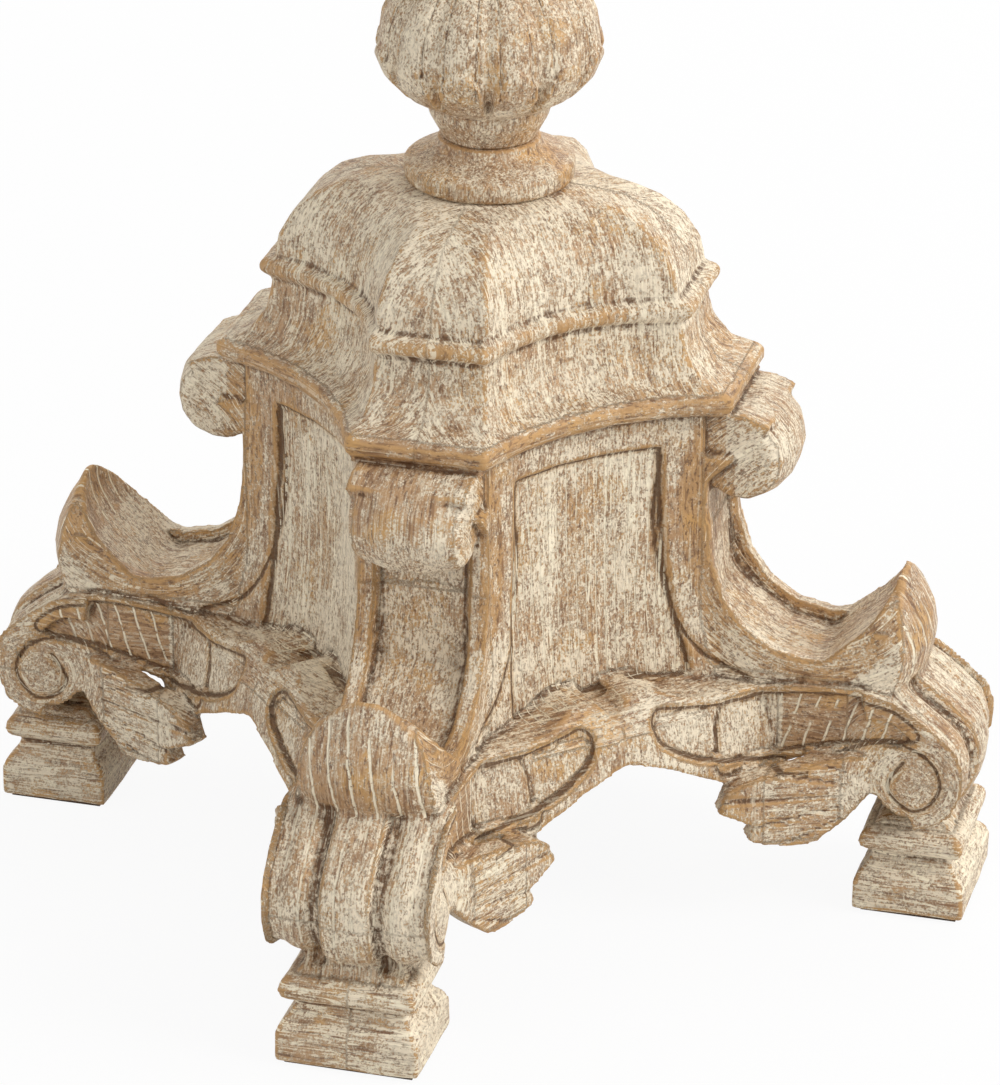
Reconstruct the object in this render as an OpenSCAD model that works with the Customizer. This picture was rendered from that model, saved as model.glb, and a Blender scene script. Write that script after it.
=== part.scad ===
// Candlestick floor lamp: a carved four-legged pedestal, a turned column and a fabric shade.
// Millimetres. The origin is on the floor under the lamp's axis, +Z up, with a leg on each diagonal.

/* [Pedestal] */
// Distance from the lamp's axis to the outer face of a foot
foot_reach = 200; // [190:1:210]
// Length of a foot block along its leg
foot_length = 44; // [38:1:46]
// Width of a foot block across its leg
foot_width = 56; // [50:1:60]
// Height of a foot block
foot_h = 37; // [34:0.5:40]
// Radius of the big scroll over each foot
foot_scroll_r = 27.5; // [25:0.5:29]
// Width of the big scroll over each foot
foot_scroll_w = 66; // [62:1:70]
// Width of a leg's upper fin
fin_w = 52; // [46:1:54]
// Width of a leg's lower arm
arm_w = 60; // [56:1:61]
// Largest radius of the small barrel-shaped scroll under the cornice
top_scroll_r = 20.5; // [18:0.5:22]
// Height of the leaf tip above the floor
leaf_tip_z = 141; // [134:1:146]
// Height of the pedestal's top face
pedestal_h = 285; // [280:1:290]
// Height of the cornice's underside
cornice_z = 207; // [204:1:209]
// Thickness of the casting's side walls
casting_wall = 12; // [9:0.5:14]

/* [Column] */
// Radius of the disc on top of the pedestal
socle_r = 33; // [30:0.5:36]
// Height of the disc and its moulding
socle_h = 17; // [16:0.5:20]
// Radius of the fluted ball
ball_r = 43; // [40:0.5:46]
// Number of lobes on the ball
ball_lobes = 12; // [8:2:16]
// Height of the spool over the ball
spool_h = 22; // [16:1:30]
// Height of the leafed vase
vase_h = 238; // [200:2:280]
// Largest radius of the leafed vase
vase_r = 35; // [30:0.5:40]
// Height of the ringed knop
knop_h = 38; // [34:1:44]
// Height of the fluted shaft
shaft_h = 252; // [200:2:300]
// Number of flutes on the shaft
shaft_flutes = 12; // [8:2:16]
// Height of the gadrooned urn
urn_h = 104; // [90:2:120]
// Largest radius of the gadrooned urn
urn_r = 37; // [32:0.5:42]
// Number of gadroons on the urn
urn_lobes = 14; // [10:2:18]
// Height of the stem over the urn
stem_h = 62; // [50:1:80]
// Radius of the drip pan
pan_r = 57; // [48:1:64]
// Height of the drip pan
pan_h = 28; // [24:1:34]
// Height of the candle sleeve
candle_h = 104; // [80:1:130]
// Radius of the candle sleeve
candle_r = 19; // [18:0.5:22]

/* [Fittings] */
// Outer radius of the threaded lamp pipe
pipe_r = 4.9; // [4.6:0.05:5.2]
// Wall of the lamp pipe
pipe_wall = 1.2; // [0.8:0.05:1.5]
// Radial gap between the lamp pipe and the pieces threaded over it
pipe_gap = 0.3; // [0.2:0.05:0.5]
// Bore radius of the cord bushing in the bottom plate
cord_hole_r = 4; // [3.5:0.1:5]
// Thickness of the bottom plate
plate_t = 2.5; // [2:0.25:4]
// Thickness of the felt pads under the feet
felt_t = 1.5; // [1:0.25:2.5]

/* [Socket and bulb] */
// Outer radius of the socket's brass shell
socket_r = 17; // [16:0.25:18]
// Height of the socket's shell
socket_h = 44; // [42:1:50]
// Radius of the bulb's glass
bulb_r = 30; // [28:0.5:32]
// Outer radius of the bulb's screw cap
bulb_cap_r = 13; // [12.8:0.1:13.2]
// Radius of the switch's knob
knob_r = 7; // [6:0.25:8]

/* [Harp and shade] */
// Height of the harp from its saddle to its seat
harp_h = 254; // [240:1:270]
// Half width of the harp at its widest
harp_half_w = 56; // [50:1:60]
// Radius of the harp's wire
harp_wire_r = 2; // [1.8:0.1:2.4]
// Height of the shade
shade_h = 292; // [270:1:310]
// Radius of the shade at its top
shade_top_r = 178; // [160:1:190]
// Radius of the shade at its bottom
shade_bottom_r = 228; // [215:1:240]
// Thickness of the shade's fabric and lining
shade_t = 1.2; // [0.8:0.1:2]
// Depth of the shade's seat below its top ring
shade_drop = 20; // [12:1:30]
// Height of the finial
finial_h = 42; // [36:1:50]

/* [Hidden] */
$fn = 64;
eps = 0.01;
slack = 0.3;           // gap between pieces that are set into each other

// ---------- heights of the stack ----------
lip_h = 8;
cove_h = 28;
band_h = 7;
dome_h = pedestal_h - cornice_z - lip_h - cove_h - band_h;
socle_z = pedestal_h;
ball_z = socle_z + socle_h;
ball_h = 1.82 * ball_r;
spool_z = ball_z + ball_h;
vase_z = spool_z + spool_h;
knop_z = vase_z + vase_h;
shaft_z = knop_z + knop_h;
urn_z = shaft_z + shaft_h;
stem_z = urn_z + urn_h;
pan_z = stem_z + stem_h;
pan_floor = 12;                       // height of the pan's floor, where the candle stands
candle_z = pan_z + pan_floor;
check_z = candle_z + candle_h;
check_t = 3;
saddle_z = check_z + check_t;
saddle_t = 1.6;
nut_h = 5;
nut_r = 8;
socket_z = saddle_z + saddle_t;
cap_h = 17;
shell_z = socket_z + cap_h;
shell_t = 0.7;
socket_top = shell_z + socket_h;
bulb_seat_z = shell_z + 14;           // where the bulb's tip meets the centre contact
bulb_cap_h = 27;
bulb_len = 108;
seat_z = saddle_z + harp_h;           // underside of the shade's washer
seat_h = 6;
washer_t = 2;
shade_top_z = seat_z + washer_t + shade_drop;
shade_bottom_z = shade_top_z - shade_h;
ring_wire_r = 1.5;
finial_z = seat_z + washer_t;
pipe_bore = pipe_r + pipe_gap;

// ---------- pedestal plan and profile ----------
body_corner = 94;                     // axis to the body's chamfered corner
body_half_w = 24;
body_dip = 10.5;                      // how far a panel curves in at its middle
body_foot_z = 66;
plate_z = 72;                         // underside of the bottom plate
ballast_z = plate_z + plate_t;
ballast_h = 96;
cavity_corner = body_corner - casting_wall;
cavity_half_w = body_half_w - 0.8 * casting_wall;
cavity_dip = body_dip - 5;
cavity_top_z = cornice_z + 28;
scroll_x = body_corner + 11;          // centre of the small scroll
scroll_z = cornice_z - 20.6;
rim_w = 7;                            // raised rims along the hollow
rim_h = 4.5;
screw_xy = 50;                        // corner screws of the bottom plate, along each diagonal / sqrt(2)
screw_r = 1.8;
pad_inset = 3;
bushing_y = 36;

// ---------- helpers ----------
function cumulative(v, i = 0, s = 0) = i == len(v) ? [] : concat([s + v[i]], cumulative(v, i + 1, s + v[i]));
function flat(lists) = [for (l = lists) for (x = l) x];
// A smooth closed or open curve through a few points.
function knot(p, i, closed) = closed ? p[(i + len(p)) % len(p)] : p[max(0, min(len(p) - 1, i))];
function smooth(p, closed = true, steps = 4) = flat([for (i = [0:len(p) - (closed ? 1 : 2)])
    let (a = knot(p, i - 1, closed), b = knot(p, i, closed), c = knot(p, i + 1, closed), d = knot(p, i + 2, closed))
    [for (k = [0:steps - 1]) let (s = k / steps)
        0.5 * (2 * b + (c - a) * s + (2 * a - 5 * b + 4 * c - d) * s * s + (3 * b - a - 3 * c + d) * s * s * s)]]);
function turned(p, a) = [p[0] * cos(a) - p[1] * sin(a), p[0] * sin(a) + p[1] * cos(a)];
// Plan of a square with cut corners and sides that curve in: corner distance, half the cut's width, dip.
side_steps = 5;
function plan(corner, half_w, dip) = flat([for (q = [0:3]) let (
        a = turned([corner, -half_w], 45 + 90 * q), b = turned([corner, half_w], 45 + 90 * q),
        c = turned([corner, -half_w], 135 + 90 * q), inward = [-cos(90 + 90 * q), -sin(90 + 90 * q)])
    concat([a], [for (k = [0:side_steps - 1]) let (s = k / side_steps)
        b + (c - b) * s + inward * 4 * dip * s * (1 - s)])]);
// A closed skin over rings of equal length, each a list of [x, y] at its own height.
module skin(rings, heights) {
    n = len(rings[0]);
    m = len(rings);
    points = flat([for (j = [0:m - 1]) [for (p = rings[j]) [p[0], p[1], heights[j]]]]);
    walls = flat([for (j = [0:m - 2]) flat([for (i = [0:n - 1]) let (k = (i + 1) % n)
        [[j * n + i, (j + 1) * n + k, j * n + k], [j * n + i, (j + 1) * n + i, (j + 1) * n + k]]])]);
    polyhedron(points, concat(walls, [[for (i = [0:n - 1]) i]], [[for (i = [n - 1:-1:0]) (m - 1) * n + i]]));
}
// A tube along points in the XZ plane.
module tube_xz(path, r, sides = 8) {
    last = len(path) - 1;
    frames = [for (i = [0:last]) let (d = path[min(last, i + 1)] - path[max(0, i - 1)]) d / norm(d)];
    points = flat([for (i = [0:last]) [for (k = [0:sides - 1]) let (a = 360 * k / sides, t = frames[i])
        [path[i][0] - t[1] * r * cos(a), r * sin(a), path[i][1] + t[0] * r * cos(a)]]]);
    walls = flat([for (i = [0:last - 1]) flat([for (k = [0:sides - 1]) let (l = (k + 1) % sides)
        [[i * sides + k, i * sides + l, (i + 1) * sides + l], [i * sides + k, (i + 1) * sides + l, (i + 1) * sides + k]]])]);
    polyhedron(points, concat(walls, [[for (k = [sides - 1:-1:0]) k]], [[for (k = [0:sides - 1]) last * sides + k]]));
}
module upright(width) {                // a drawing in (outward, up) becomes a plate of that width
    rotate([90, 0, 0]) linear_extrude(width, center = true) children();
}
module drum(r, h, sides = 28) {         // a round bar with flat facets, centred
    linear_extrude(h, center = true) polygon([for (k = [0:sides - 1]) r * [cos(360 * k / sides), sin(360 * k / sides)]]);
}
module at_legs() { for (q = [0:3]) rotate(45 + 90 * q) children(); }
module at_panels() { for (q = [0:3]) rotate(90 * q) children(); }
module bored(r, z, h) {                // takes the lamp pipe's bore out of a turned piece
    difference() {
        children();
        translate([0, 0, z - 1]) cylinder(r = r, h = h + 2);
    }
}

// ---------- legs ----------
// Outlines below are seen from a leg's side as [distance from the lamp's axis, height].
scroll_dx = foot_reach - 200;         // moves the outer end of a leg with the foot's reach
hollow_edge = [[94, 178], [93, 163], [96, 145], [101, 129], [109, 118], [121, 110], [135, 107], [147, 109],
    [158, 117], [165, 128], [169, 140]];
leaf_back = [[172, 138], [176, 131], [180, 124], [182, 114], [180, 103], [174, 93]];
fin_top = [[118, 202], [107, 206], [94, 205], [60, 205]];
volute_c = [179.5 + scroll_dx, 62];
eye_r = 8.5;
arm_top = [[107, 93], [131, 97], [158, 99]];
volute_edge = [[158, 100], [166, 101], [174, 99], [182, 94], [190, 88], [198.5, 80], [202.5, 70], [201.5, 58],
    [197, 47], [189, 41], [180, 38.5]];
arm_soffit = [[157, 58], [158, 66], [154, 73], [142, 69], [125, 62.5], [112, 58], [100, 56], [84, 62]];
arm_field = [[104, 90], [115, 91.5], [131, 94], [148, 95.5], [160, 95], [172, 92], [181, 84], [176, 79],
    [164, 77.5], [148, 74.5], [132, 70], [118, 67], [106, 66]];
volute_line = [[152, 73], [163, 76.5], [175, 77.5], [186, 72], [190, 62], [184, 52], [175, 51.5], [169, 60], [175, 70.5]];
function moved(p, dx) = [for (q = p) [q[0] + dx * max(0, min(1, (q[0] - 110) / 40)), q[1]]];
// The path moved sideways by w, to the left of its direction.
function beside(p, w) = [for (i = [0:len(p) - 1]) let (d = p[min(len(p) - 1, i + 1)] - p[max(0, i - 1)], n = norm(d))
    p[i] + w * [-d[1], d[0]] / n];
module band(path, w) {                  // a flat ribbon along a path
    side_b = beside(path, -w / 2);
    polygon(concat(beside(path, w / 2), [for (i = [len(path) - 1:-1:0]) side_b[i]]));
}
module fin_outline(deep) {              // deep lowers the floor of the hollow between the rims
    edge = moved([for (i = [0:10]) let (q = beside(hollow_edge, -deep)[i], k = min(1, (10 - i) / 2))
        hollow_edge[i] + k * (q - hollow_edge[i])], scroll_dx);
    polygon(concat([[60, 80]], [[174 + scroll_dx, 82]], [for (i = [len(leaf_back) - 1:-1:0]) moved(leaf_back, scroll_dx)[i]],
        [for (i = [len(edge) - 1:-1:0]) edge[i]], fin_top));
}
module fin() {
    lip = 166 + scroll_dx;              // outside this the fin is only the leaf's root
    intersection() {
        union() {
            upright(fin_w) fin_outline(rim_h);
            for (s = [-1, 1]) translate([0, s * (fin_w - rim_w) / 2, 0]) upright(rim_w) fin_outline(0);
        }
        union() {
            translate([0, -fin_w, 0]) cube([150 + scroll_dx, 2 * fin_w, cornice_z + 5]);
            translate([0, -fin_w, 0]) cube([lip, 2 * fin_w, 122]);
        }
    }
}
module leaf_tip() {                     // the tongue that curls up over the foot's scroll
    up = [84, 95, 104, 113, 122, 130, 136.5, 141.5];
    half = [26, 27, 27, 26, 24, 19.5, 12, 3];
    front = [170, 176.5, 180.5, 182, 180.5, 176.6, 172.6, 170.4];
    back = [140, 140, 142, 152, 162, 166.6, 168.2, 168.6];
    k = (leaf_tip_z - 84) / 57.5;
    across = [-1, -0.8, -0.45, 0, 0.45, 0.8, 1];
    translate([scroll_dx - 1.5, 0, 0]) skin([for (i = [0:7]) let (thick = front[i] - back[i]) concat(
            [for (c = across) [front[i] - min(8, 0.55 * thick) * c * c, half[i] * c]],
            [for (j = [6:-1:0]) let (c = across[j]) [back[i] - min(4, 0.3 * thick) * c * c, half[i] * c]])],
        [for (z = up) 84 + (z - 84) * k]);
}
module arm() {
    outline = concat([[70, 84]], arm_top, beside(volute_edge, -6), arm_soffit);
    difference() {
        union() {
            upright(arm_w) polygon(moved(outline, scroll_dx));
            translate([volute_c[0], 0, volute_c[1]]) rotate([90, 0, 0]) {
                drum(foot_scroll_r - 10, foot_scroll_w - 4, 16);
                drum(eye_r, foot_scroll_w - 1, 12);
            }
        }
        for (s = [-1, 1]) translate([0, s * arm_w / 2, 0]) upright(5) polygon(moved(arm_field, scroll_dx));
        for (s = [-1, 1]) translate([0, s * (foot_scroll_w / 2), 0]) upright(6)
            band(moved(volute_line, scroll_dx), 2.4);
    }
}
module foot_lobes() {                   // three long lobes that run down over the scroll
    path = moved(volute_edge, scroll_dx);
    side = foot_scroll_w / 2 - 8;
    // [middle, half width, depth below the crown]; each lobe is built up in two widths
    for (l = [[0, 15.5, 2.2], [0, 11, 0.3], [side, 7.8, 2.2], [-side, 7.8, 2.2]])
        translate([0, l[0], 0]) upright(2 * l[1]) polygon(concat(beside(path, -l[2]), let (q = beside(path, -11 - l[2]))
            [for (i = [len(q) - 1:-2:0]) q[i]]));
}
module top_scroll() {                   // a barrel-shaped roll
    w = fin_w / 2 - 4;
    r = top_scroll_r;
    sides = 14;
    // [place along the roll, radius]
    rings = [[-w, r - 7], [2.5 - w, r - 3.8], [-w / 3, r - 0.4], [w / 3, r - 0.4], [w - 2.5, r - 3.8], [w, r - 7]];
    translate([scroll_x, 0, scroll_z]) rotate([90, 0, 0]) difference() {
        skin([for (g = rings) [for (k = [0:sides - 1]) g[1] * [cos(360 * k / sides), sin(360 * k / sides)]]], [for (g = rings) g[0]]);
        for (s = [-1, 1]) translate([0, 0, s * w]) linear_extrude(3, center = true) spiral(r - 7.6, 5, 1.2, 1.6);
    }
}
module spiral(r0, r1, turns, width) {   // a flat spiral band, wound inwards
    steps = 7;
    path = [for (k = [0:steps]) let (r = r0 + (r1 - r0) * k / steps, a = -90 - 360 * turns * k / steps) [r * cos(a), r * sin(a)]];
    band(path, width);
}
module under_leaf() {                   // the leaf that hangs on each side of an arm and follows the skirt
    for (s = [-1, 1]) translate([158 + scroll_dx, s * 28, 0]) rotate(180 - s * 24.8) upright(10)
        polygon([[-8, 64], [-4, 71], [5, 72], [18, 70], [34, 67.5], [47, 64], [54.5, 59], [57.6, 51], [56.5, 42.5],
            [41.6, 36.5], [28, 34], [18.3, 35.4], [11, 41], [-4, 55]]);
}
module foot_block() {                   // slab, hollow neck and top roll, cut to shape both ways
    x0 = foot_reach - foot_length;
    neck = 5.5;
    roll = (foot_h - 26) / 2;
    function edge(at, sgn) = concat([[at, felt_t], [at, 14], [at - sgn * 2, 16]],
        [for (a = [0:45:90]) [at - sgn * (neck * sin(a) + 1), 16.5 + 8.5 * a / 90]],
        [for (a = [-90:30:90]) [at - sgn * (roll / 2 + 4 - roll * cos(a)), 26 + roll + roll * sin(a)]],
        [[at - sgn * 9, foot_h + 4]]);
    function closed_profile(lo, hi) = concat(edge(hi, 1), [for (i = [len(edge(lo, -1)) - 1:-1:0]) edge(lo, -1)[i]]);
    intersection() {
        upright(foot_width + 10) polygon(closed_profile(x0, foot_reach));
        rotate([90, 0, 90]) linear_extrude(foot_reach + 10) polygon(closed_profile(-foot_width / 2, foot_width / 2));
    }
}
module leg() {
    fin();
    leaf_tip();
    arm();
    foot_lobes();
    top_scroll();
    under_leaf();
    foot_block();
}

// ---------- pedestal ----------
body_levels = [[108, 14, body_foot_z + 2], [108, 14, 92], [102, 12.8, 109], [97, 11.5, 132],
    [body_corner, 10.5, 168], [body_corner, 10.5, cornice_z + 1]];      // corner distance, dip, height
module body_skin(grow) {
    skin([for (l = body_levels) plan(l[0] + grow, body_half_w + 0.41 * grow, l[1])], [for (l = body_levels) l[2]]);
}
module body() {
    difference() {
        body_skin(0);
        difference() {
            at_panels() translate([0, -45, 80]) rotate([90, 0, 0]) linear_extrude(80) polygon(field_edge);
            body_skin(-2.4);
        }
    }
}
// The sunk field of a panel, seen from its front, heights above 80.
field_edge = concat([[-31.5, 113], [31.5, 113]], smooth([[31.8, 95], [33, 66], [36.5, 44], [42.5, 17], [30, 18], [16, 20.5], [8, 19],
    [0, 17.5], [-12, 18], [-24, 12], [-36, 9], [-35.5, 30], [-33.5, 66], [-31.8, 95]], closed = false, steps = 1), [[-31.8, 95]]);
// The skirt between two legs. Its front leans: distance from the axis against height.
skirt_front = [[94, 101.5], [97, 100], [103, 94], [106.5, 88.5], [110.5, 68], [112.5, 54], [112.5, 40]];
// Its outline from the front, one half: down the middle, along the arch, up at the leg.
skirt_half = [[0, 78], [5, 77], [19, 71.8], [39, 62.7], [60, 54], [76, 52], [76, 92],
    [60, 95], [40, 95.5], [28, 97], [20, 100.5], [13, 102], [6, 100.5], [3, 97]];
wing_field = [[17, 95], [13.3, 91], [15.5, 84], [20.5, 79.5], [28, 75], [37, 71.5], [50, 68.5], [76, 67.5],
    [76, 91], [46, 91.5], [26, 93.8]];
function mirrored(p) = [for (i = [len(p) - 1:-1:0]) [-p[i][0], p[i][1]]];
module skirt_block(back) {              // the leaning block behind the skirt's face
    rotate([90, 0, 90]) linear_extrude(2 * 70, center = true)
        polygon(concat([for (i = [len(skirt_front) - 1:-1:0]) [-skirt_front[i][0] - back, skirt_front[i][1]]],
            [[-60, 101.5], [-60, 40]]));
}
module apron() {
    difference() {
        intersection() {
            skirt_block(0);
            rotate([90, 0, 0]) linear_extrude(140) polygon(concat(skirt_half, mirrored(skirt_half)));
        }
        intersection() {
            rotate([90, 0, 0]) linear_extrude(140) union() {
                polygon(wing_field);
                polygon(mirrored(wing_field));
            }
            difference() {
                translate([-90, -140, 30]) cube([180, 100, 80]);
                skirt_block(-3);
            }
        }
    }
}
module cornice_and_dome() {
    z1 = cornice_z + lip_h;             // top of the lower lip
    z2 = z1 + cove_h;                   // top of the cove
    z3 = z2 + band_h;                   // top of the upper band
    // [corner distance, half width, dip, height]
    levels = concat(
        [[100, 26, 13, cornice_z], [103.5, 27, 13, cornice_z + 2.5], [103.5, 27, 13, z1 - 1], [102, 26.8, 13, z1]],
        [for (k = [0:3]) let (a = 90 * k / 3) [101 - 19.5 * sin(a), 26.5 - 5 * sin(a), 13, z1 + 0.5 + (cove_h - 1.5) * (1 - cos(a))]],
        [[85, 22.4, 13, z2 + 0.5], [86.5, 22.6, 13, z2 + 2], [86.5, 22.6, 13, z3 - 2], [84, 22.2, 13, z3 - 0.3]],
        [for (k = [0:5]) let (a = 90 * k / 5) [42 + 38.5 * cos(a), 11 + 10.8 * cos(a) ^ 1.2, 1.5 + 11.5 * cos(a) ^ 0.7,
            z3 + (dome_h - 1) * sin(a)]],
        [[30, 9.5, 0.5, pedestal_h]]);
    skin([for (l = levels) plan(l[0], l[1], l[2])], [for (l = levels) l[3]]);
}
module cavity() {
    linear_extrude(cornice_z - 2.4) polygon(plan(cavity_corner, cavity_half_w, cavity_dip));
    translate([0, 0, cornice_z - 5]) linear_extrude(cavity_top_z - cornice_z + 4)
        polygon(plan(cavity_corner - 12, cavity_half_w - 5, cavity_dip + 4));
}
module pedestal_casting() color("tan") difference() {
    resize([0, 0, 0]) {                 // joined into one closed skin
        difference() {
            union() {
                body();
                at_legs() leg();
                at_panels() apron();
                cornice_and_dome();
            }
            cavity();
        }
        at_legs() {
            translate([screw_xy * sqrt(2), 0, plate_z + plate_t + 13]) drum(6.8, 26, 10);
            translate([screw_xy * sqrt(2), -4, plate_z + plate_t]) cube([cavity_corner - screw_xy * sqrt(2) + 3, 8, 26]);
        }
    }
    translate([0, 0, cavity_top_z - 5]) cylinder(r = pipe_bore, h = pedestal_h);
    at_legs() translate([screw_xy * sqrt(2), 0, plate_z]) cylinder(r = screw_r, h = 22);
}
module ballast_block() color("gray") difference() {
    translate([0, 0, ballast_z + slack]) linear_extrude(ballast_h) polygon(plan(cavity_corner - 22, cavity_half_w + 2, cavity_dip));
    translate([0, 0, ballast_z]) cylinder(r = pipe_bore + 2, h = ballast_h + 2);
    translate([0, bushing_y, ballast_z - 1]) cylinder(r = cord_hole_r + 6, h = 14);
    translate([-cord_hole_r - 1, 0, ballast_z - 1]) cube([2 * cord_hole_r + 2, bushing_y, 12]);
}
module bottom_plate() color("dimgray") difference() {
    translate([0, 0, plate_z]) linear_extrude(plate_t) polygon(plan(cavity_corner - slack, cavity_half_w - slack, cavity_dip));
    translate([0, 0, plate_z - 1]) cylinder(r = pipe_bore, h = plate_t + 2);
    translate([0, bushing_y, plate_z - 1]) cylinder(r = cord_hole_r + 2, h = plate_t + 2);
    at_legs() translate([screw_xy * sqrt(2), 0, plate_z - 1]) cylinder(r = screw_r + 0.2, h = plate_t + 2);
}
module plate_screws() color("silver") at_legs() translate([screw_xy * sqrt(2), 0, 0]) {
    difference() {
        translate([0, 0, plate_z - 2]) cylinder(r1 = 2.6, r2 = 3.6, h = 2);
        translate([-0.4, -2, plate_z - 2.5]) cube([0.8, 4, 1.2]);
    }
    translate([0, 0, plate_z - 0.5]) cylinder(r = screw_r - 0.1, h = 20);
}
module felt_pads() color("saddlebrown") at_legs()
    translate([foot_reach - foot_length + pad_inset, -foot_width / 2 + pad_inset, 0])
        cube([foot_length - 2 * pad_inset, foot_width - 2 * pad_inset, felt_t]);
module cord_bushing() color("black") difference() {
    translate([0, bushing_y, 0]) {
        translate([0, 0, plate_z - 3]) cylinder(r = cord_hole_r + 4, h = 3);
        translate([0, 0, plate_z - 1]) cylinder(r = cord_hole_r + 1.9, h = plate_t + 4);
        translate([0, 0, ballast_z + 0.1]) cylinder(r = cord_hole_r + 3, h = 3);
    }
    translate([0, bushing_y, plate_z - 5]) cylinder(r = cord_hole_r, h = 20);
}

// ---------- column ----------
module socle_disc() color("tan") bored(pipe_bore, socle_z, socle_h) translate([0, 0, socle_z]) rotate_extrude($fn = 96)
    polygon(concat([[0, 0], [socle_r - 1.5, 0], [socle_r, 1.5], [socle_r, 7], [socle_r - 1, 8]],
        smooth([[socle_r - 2, 8.6], [socle_r - 7, 10.5], [socle_r - 11.5, socle_h - 4], [socle_r - 13, socle_h - 2],
            [socle_r - 13, socle_h]], closed = false, steps = 3), [[socle_r - 13, socle_h], [0, socle_h]]));

// The ball is a turban: a flat lower half in a cup, a taller upper half under a collar.
ball_cup_r = 23.5;
ball_cup_h = 15.5;
ball_waist = ball_cup_h + 24;         // height of its widest ring
ball_lower = 28.7;                    // half heights of its two half ellipses
ball_upper = 35.9;
lobe_depth = 3.2;
petal_t = 2.2;
function ball_lobe(i, per) = lobe_depth * (abs(sin(180 * i / per)) ^ 0.6);
function ball_at(z, grow = 0) = let (h = z < ball_waist ? ball_lower : ball_upper, s = (z - ball_waist) / (h + grow))
    (ball_r + grow) * sqrt(max(0, 1 - s * s));
module fluted_ball() color("tan") bored(pipe_bore, ball_z, ball_h) resize([0, 0, 0]) translate([0, 0, ball_z]) {
    per = 6;
    count = ball_lobes * per;
    top = ball_h - 8;
    heights = [for (a = [-64:13:72]) let (h = a < 0 ? ball_lower : ball_upper) min(top, ball_waist + h * sin(a))];
    skin([for (z = heights) [for (i = [0:count - 1])
            let (b = 360 * i / count, r = ball_at(z) - lobe_depth * 0.8 + ball_lobe(i, per) * 0.8) [r * cos(b), r * sin(b)]]],
        heights);
    rotate_extrude($fn = 36) polygon(concat([[0, 0]], smooth([[18, 0], [19.5, 3], [22, 7.5], [ball_cup_r, 11], [ball_cup_r, ball_cup_h]],
        closed = false, steps = 2), [[ball_cup_r, ball_cup_h], [0, ball_cup_h + 2]]));
    translate([0, 0, ball_h - 10]) rotate_extrude($fn = 36) polygon([[0, 0], [20, 0], [22, 2.5], [23, 4.5], [22.5, 7], [21, 8], [21, 10], [0, 10]]);
    for (i = [0:ball_lobes - 1]) rotate((i + 0.5) * 360 / ball_lobes) petal();
}
module petal() {                        // a tongue-shaped leaf that hugs the ball's lower half
    edge = [for (a = [-57:16.5:9]) let (h = a < 0 ? ball_lower : ball_upper, z = ball_waist + h * sin(a)) [ball_at(z), z]];
    intersection() {
        rotate_extrude($fn = 36) polygon(concat([for (q = edge) q + [petal_t - 0.6, -0.8]],
            [for (i = [len(edge) - 1:-1:0]) edge[i] - [6, 0]]));
        translate([15, 0, ball_cup_h - 3]) rotate([90, 0, 90]) linear_extrude(ball_r)
            polygon(smooth([[-4.5, 0], [-8, 12], [-8.2, 19], [-5, 24.5], [0, 27], [5, 24.5], [8.2, 19], [8, 12], [4.5, 0]], steps = 2));
    }
}
module spool_ring() color("tan") bored(pipe_bore, spool_z, spool_h) translate([0, 0, spool_z]) rotate_extrude()
    polygon(concat([[0, 0], [25, 0], [26, 1.5], [26, 4], [24.5, 5.5]],
        [for (a = [0:18:90]) [18 + 6 * cos(a), 5.5 + 5 * sin(a)]],
        [for (a = [-90:30:90]) [19 + 3 * cos(a), spool_h - 5 + 3 * sin(a)]], [[18, spool_h - 1], [18, spool_h], [0, spool_h]]));
function vase_profile() = let (h = vase_h, r = vase_r) smooth([[17, 4], [19, 12], [r * 0.8, h * 0.14], [r, h * 0.27],
    [r * 0.92, h * 0.4], [r * 0.68, h * 0.58], [r * 0.5, h * 0.76], [r * 0.42, h * 0.92], [r * 0.41, h - 5]], closed = false);
module leafed_vase() color("tan") bored(pipe_bore, vase_z, vase_h) translate([0, 0, vase_z]) {
    rotate_extrude() polygon(concat([[0, 0], [21, 0], [21, 3], [17, 4]], vase_profile(),
        [[vase_r * 0.41, vase_h - 5], [19, vase_h - 4], [19, vase_h], [0, vase_h]]));
    for (i = [0:7]) rotate(45 * i) intersection() {
        rotate_extrude() polygon(concat([[8, 0]], [for (p = vase_profile()) [p[0] + (i % 2 == 0 ? 2.6 : 1.6), p[1]]], [[8, vase_h - 5]]));
        translate([0, 0, 2]) rotate([90, 0, 90]) linear_extrude(vase_r + 6) polygon(smooth(i % 2 == 0
            ? [[-7, 3], [-12, 30], [-14, 60], [-11, 80], [-12, 96], [-6, 112], [0, 128], [6, 112], [12, 96], [11, 80], [14, 60], [12, 30], [7, 3]]
            : [[-6, 5], [-9, 40], [-9, 66], [-5, 84], [0, 96], [5, 84], [9, 66], [9, 40], [6, 5]], steps = 2));
    }
}
module ringed_knop() color("tan") difference() {
    translate([0, 0, knop_z]) rotate_extrude() polygon(concat([[0, 0], [19, 0], [19, 3], [16.5, 4.5], [16.5, 8]],
        [for (a = [-80:20:80]) [17 + 9 * cos(a), knop_h / 2 + 9.5 * sin(a)]],
        [[16.5, knop_h - 8], [16.5, knop_h - 4.5], [19, knop_h - 3], [19, knop_h], [0, knop_h]]));
    translate([0, 0, knop_z - 1]) cylinder(r = pipe_bore, h = knop_h + 2);
    translate([0, 0, knop_z - 1]) cylinder(r = pipe_r + 2.2 + slack, h = knop_h - 5);
}
function shaft_groove(i, per) = 1.8 * [1, 0.25, 0, 0.25][i % per];
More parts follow.
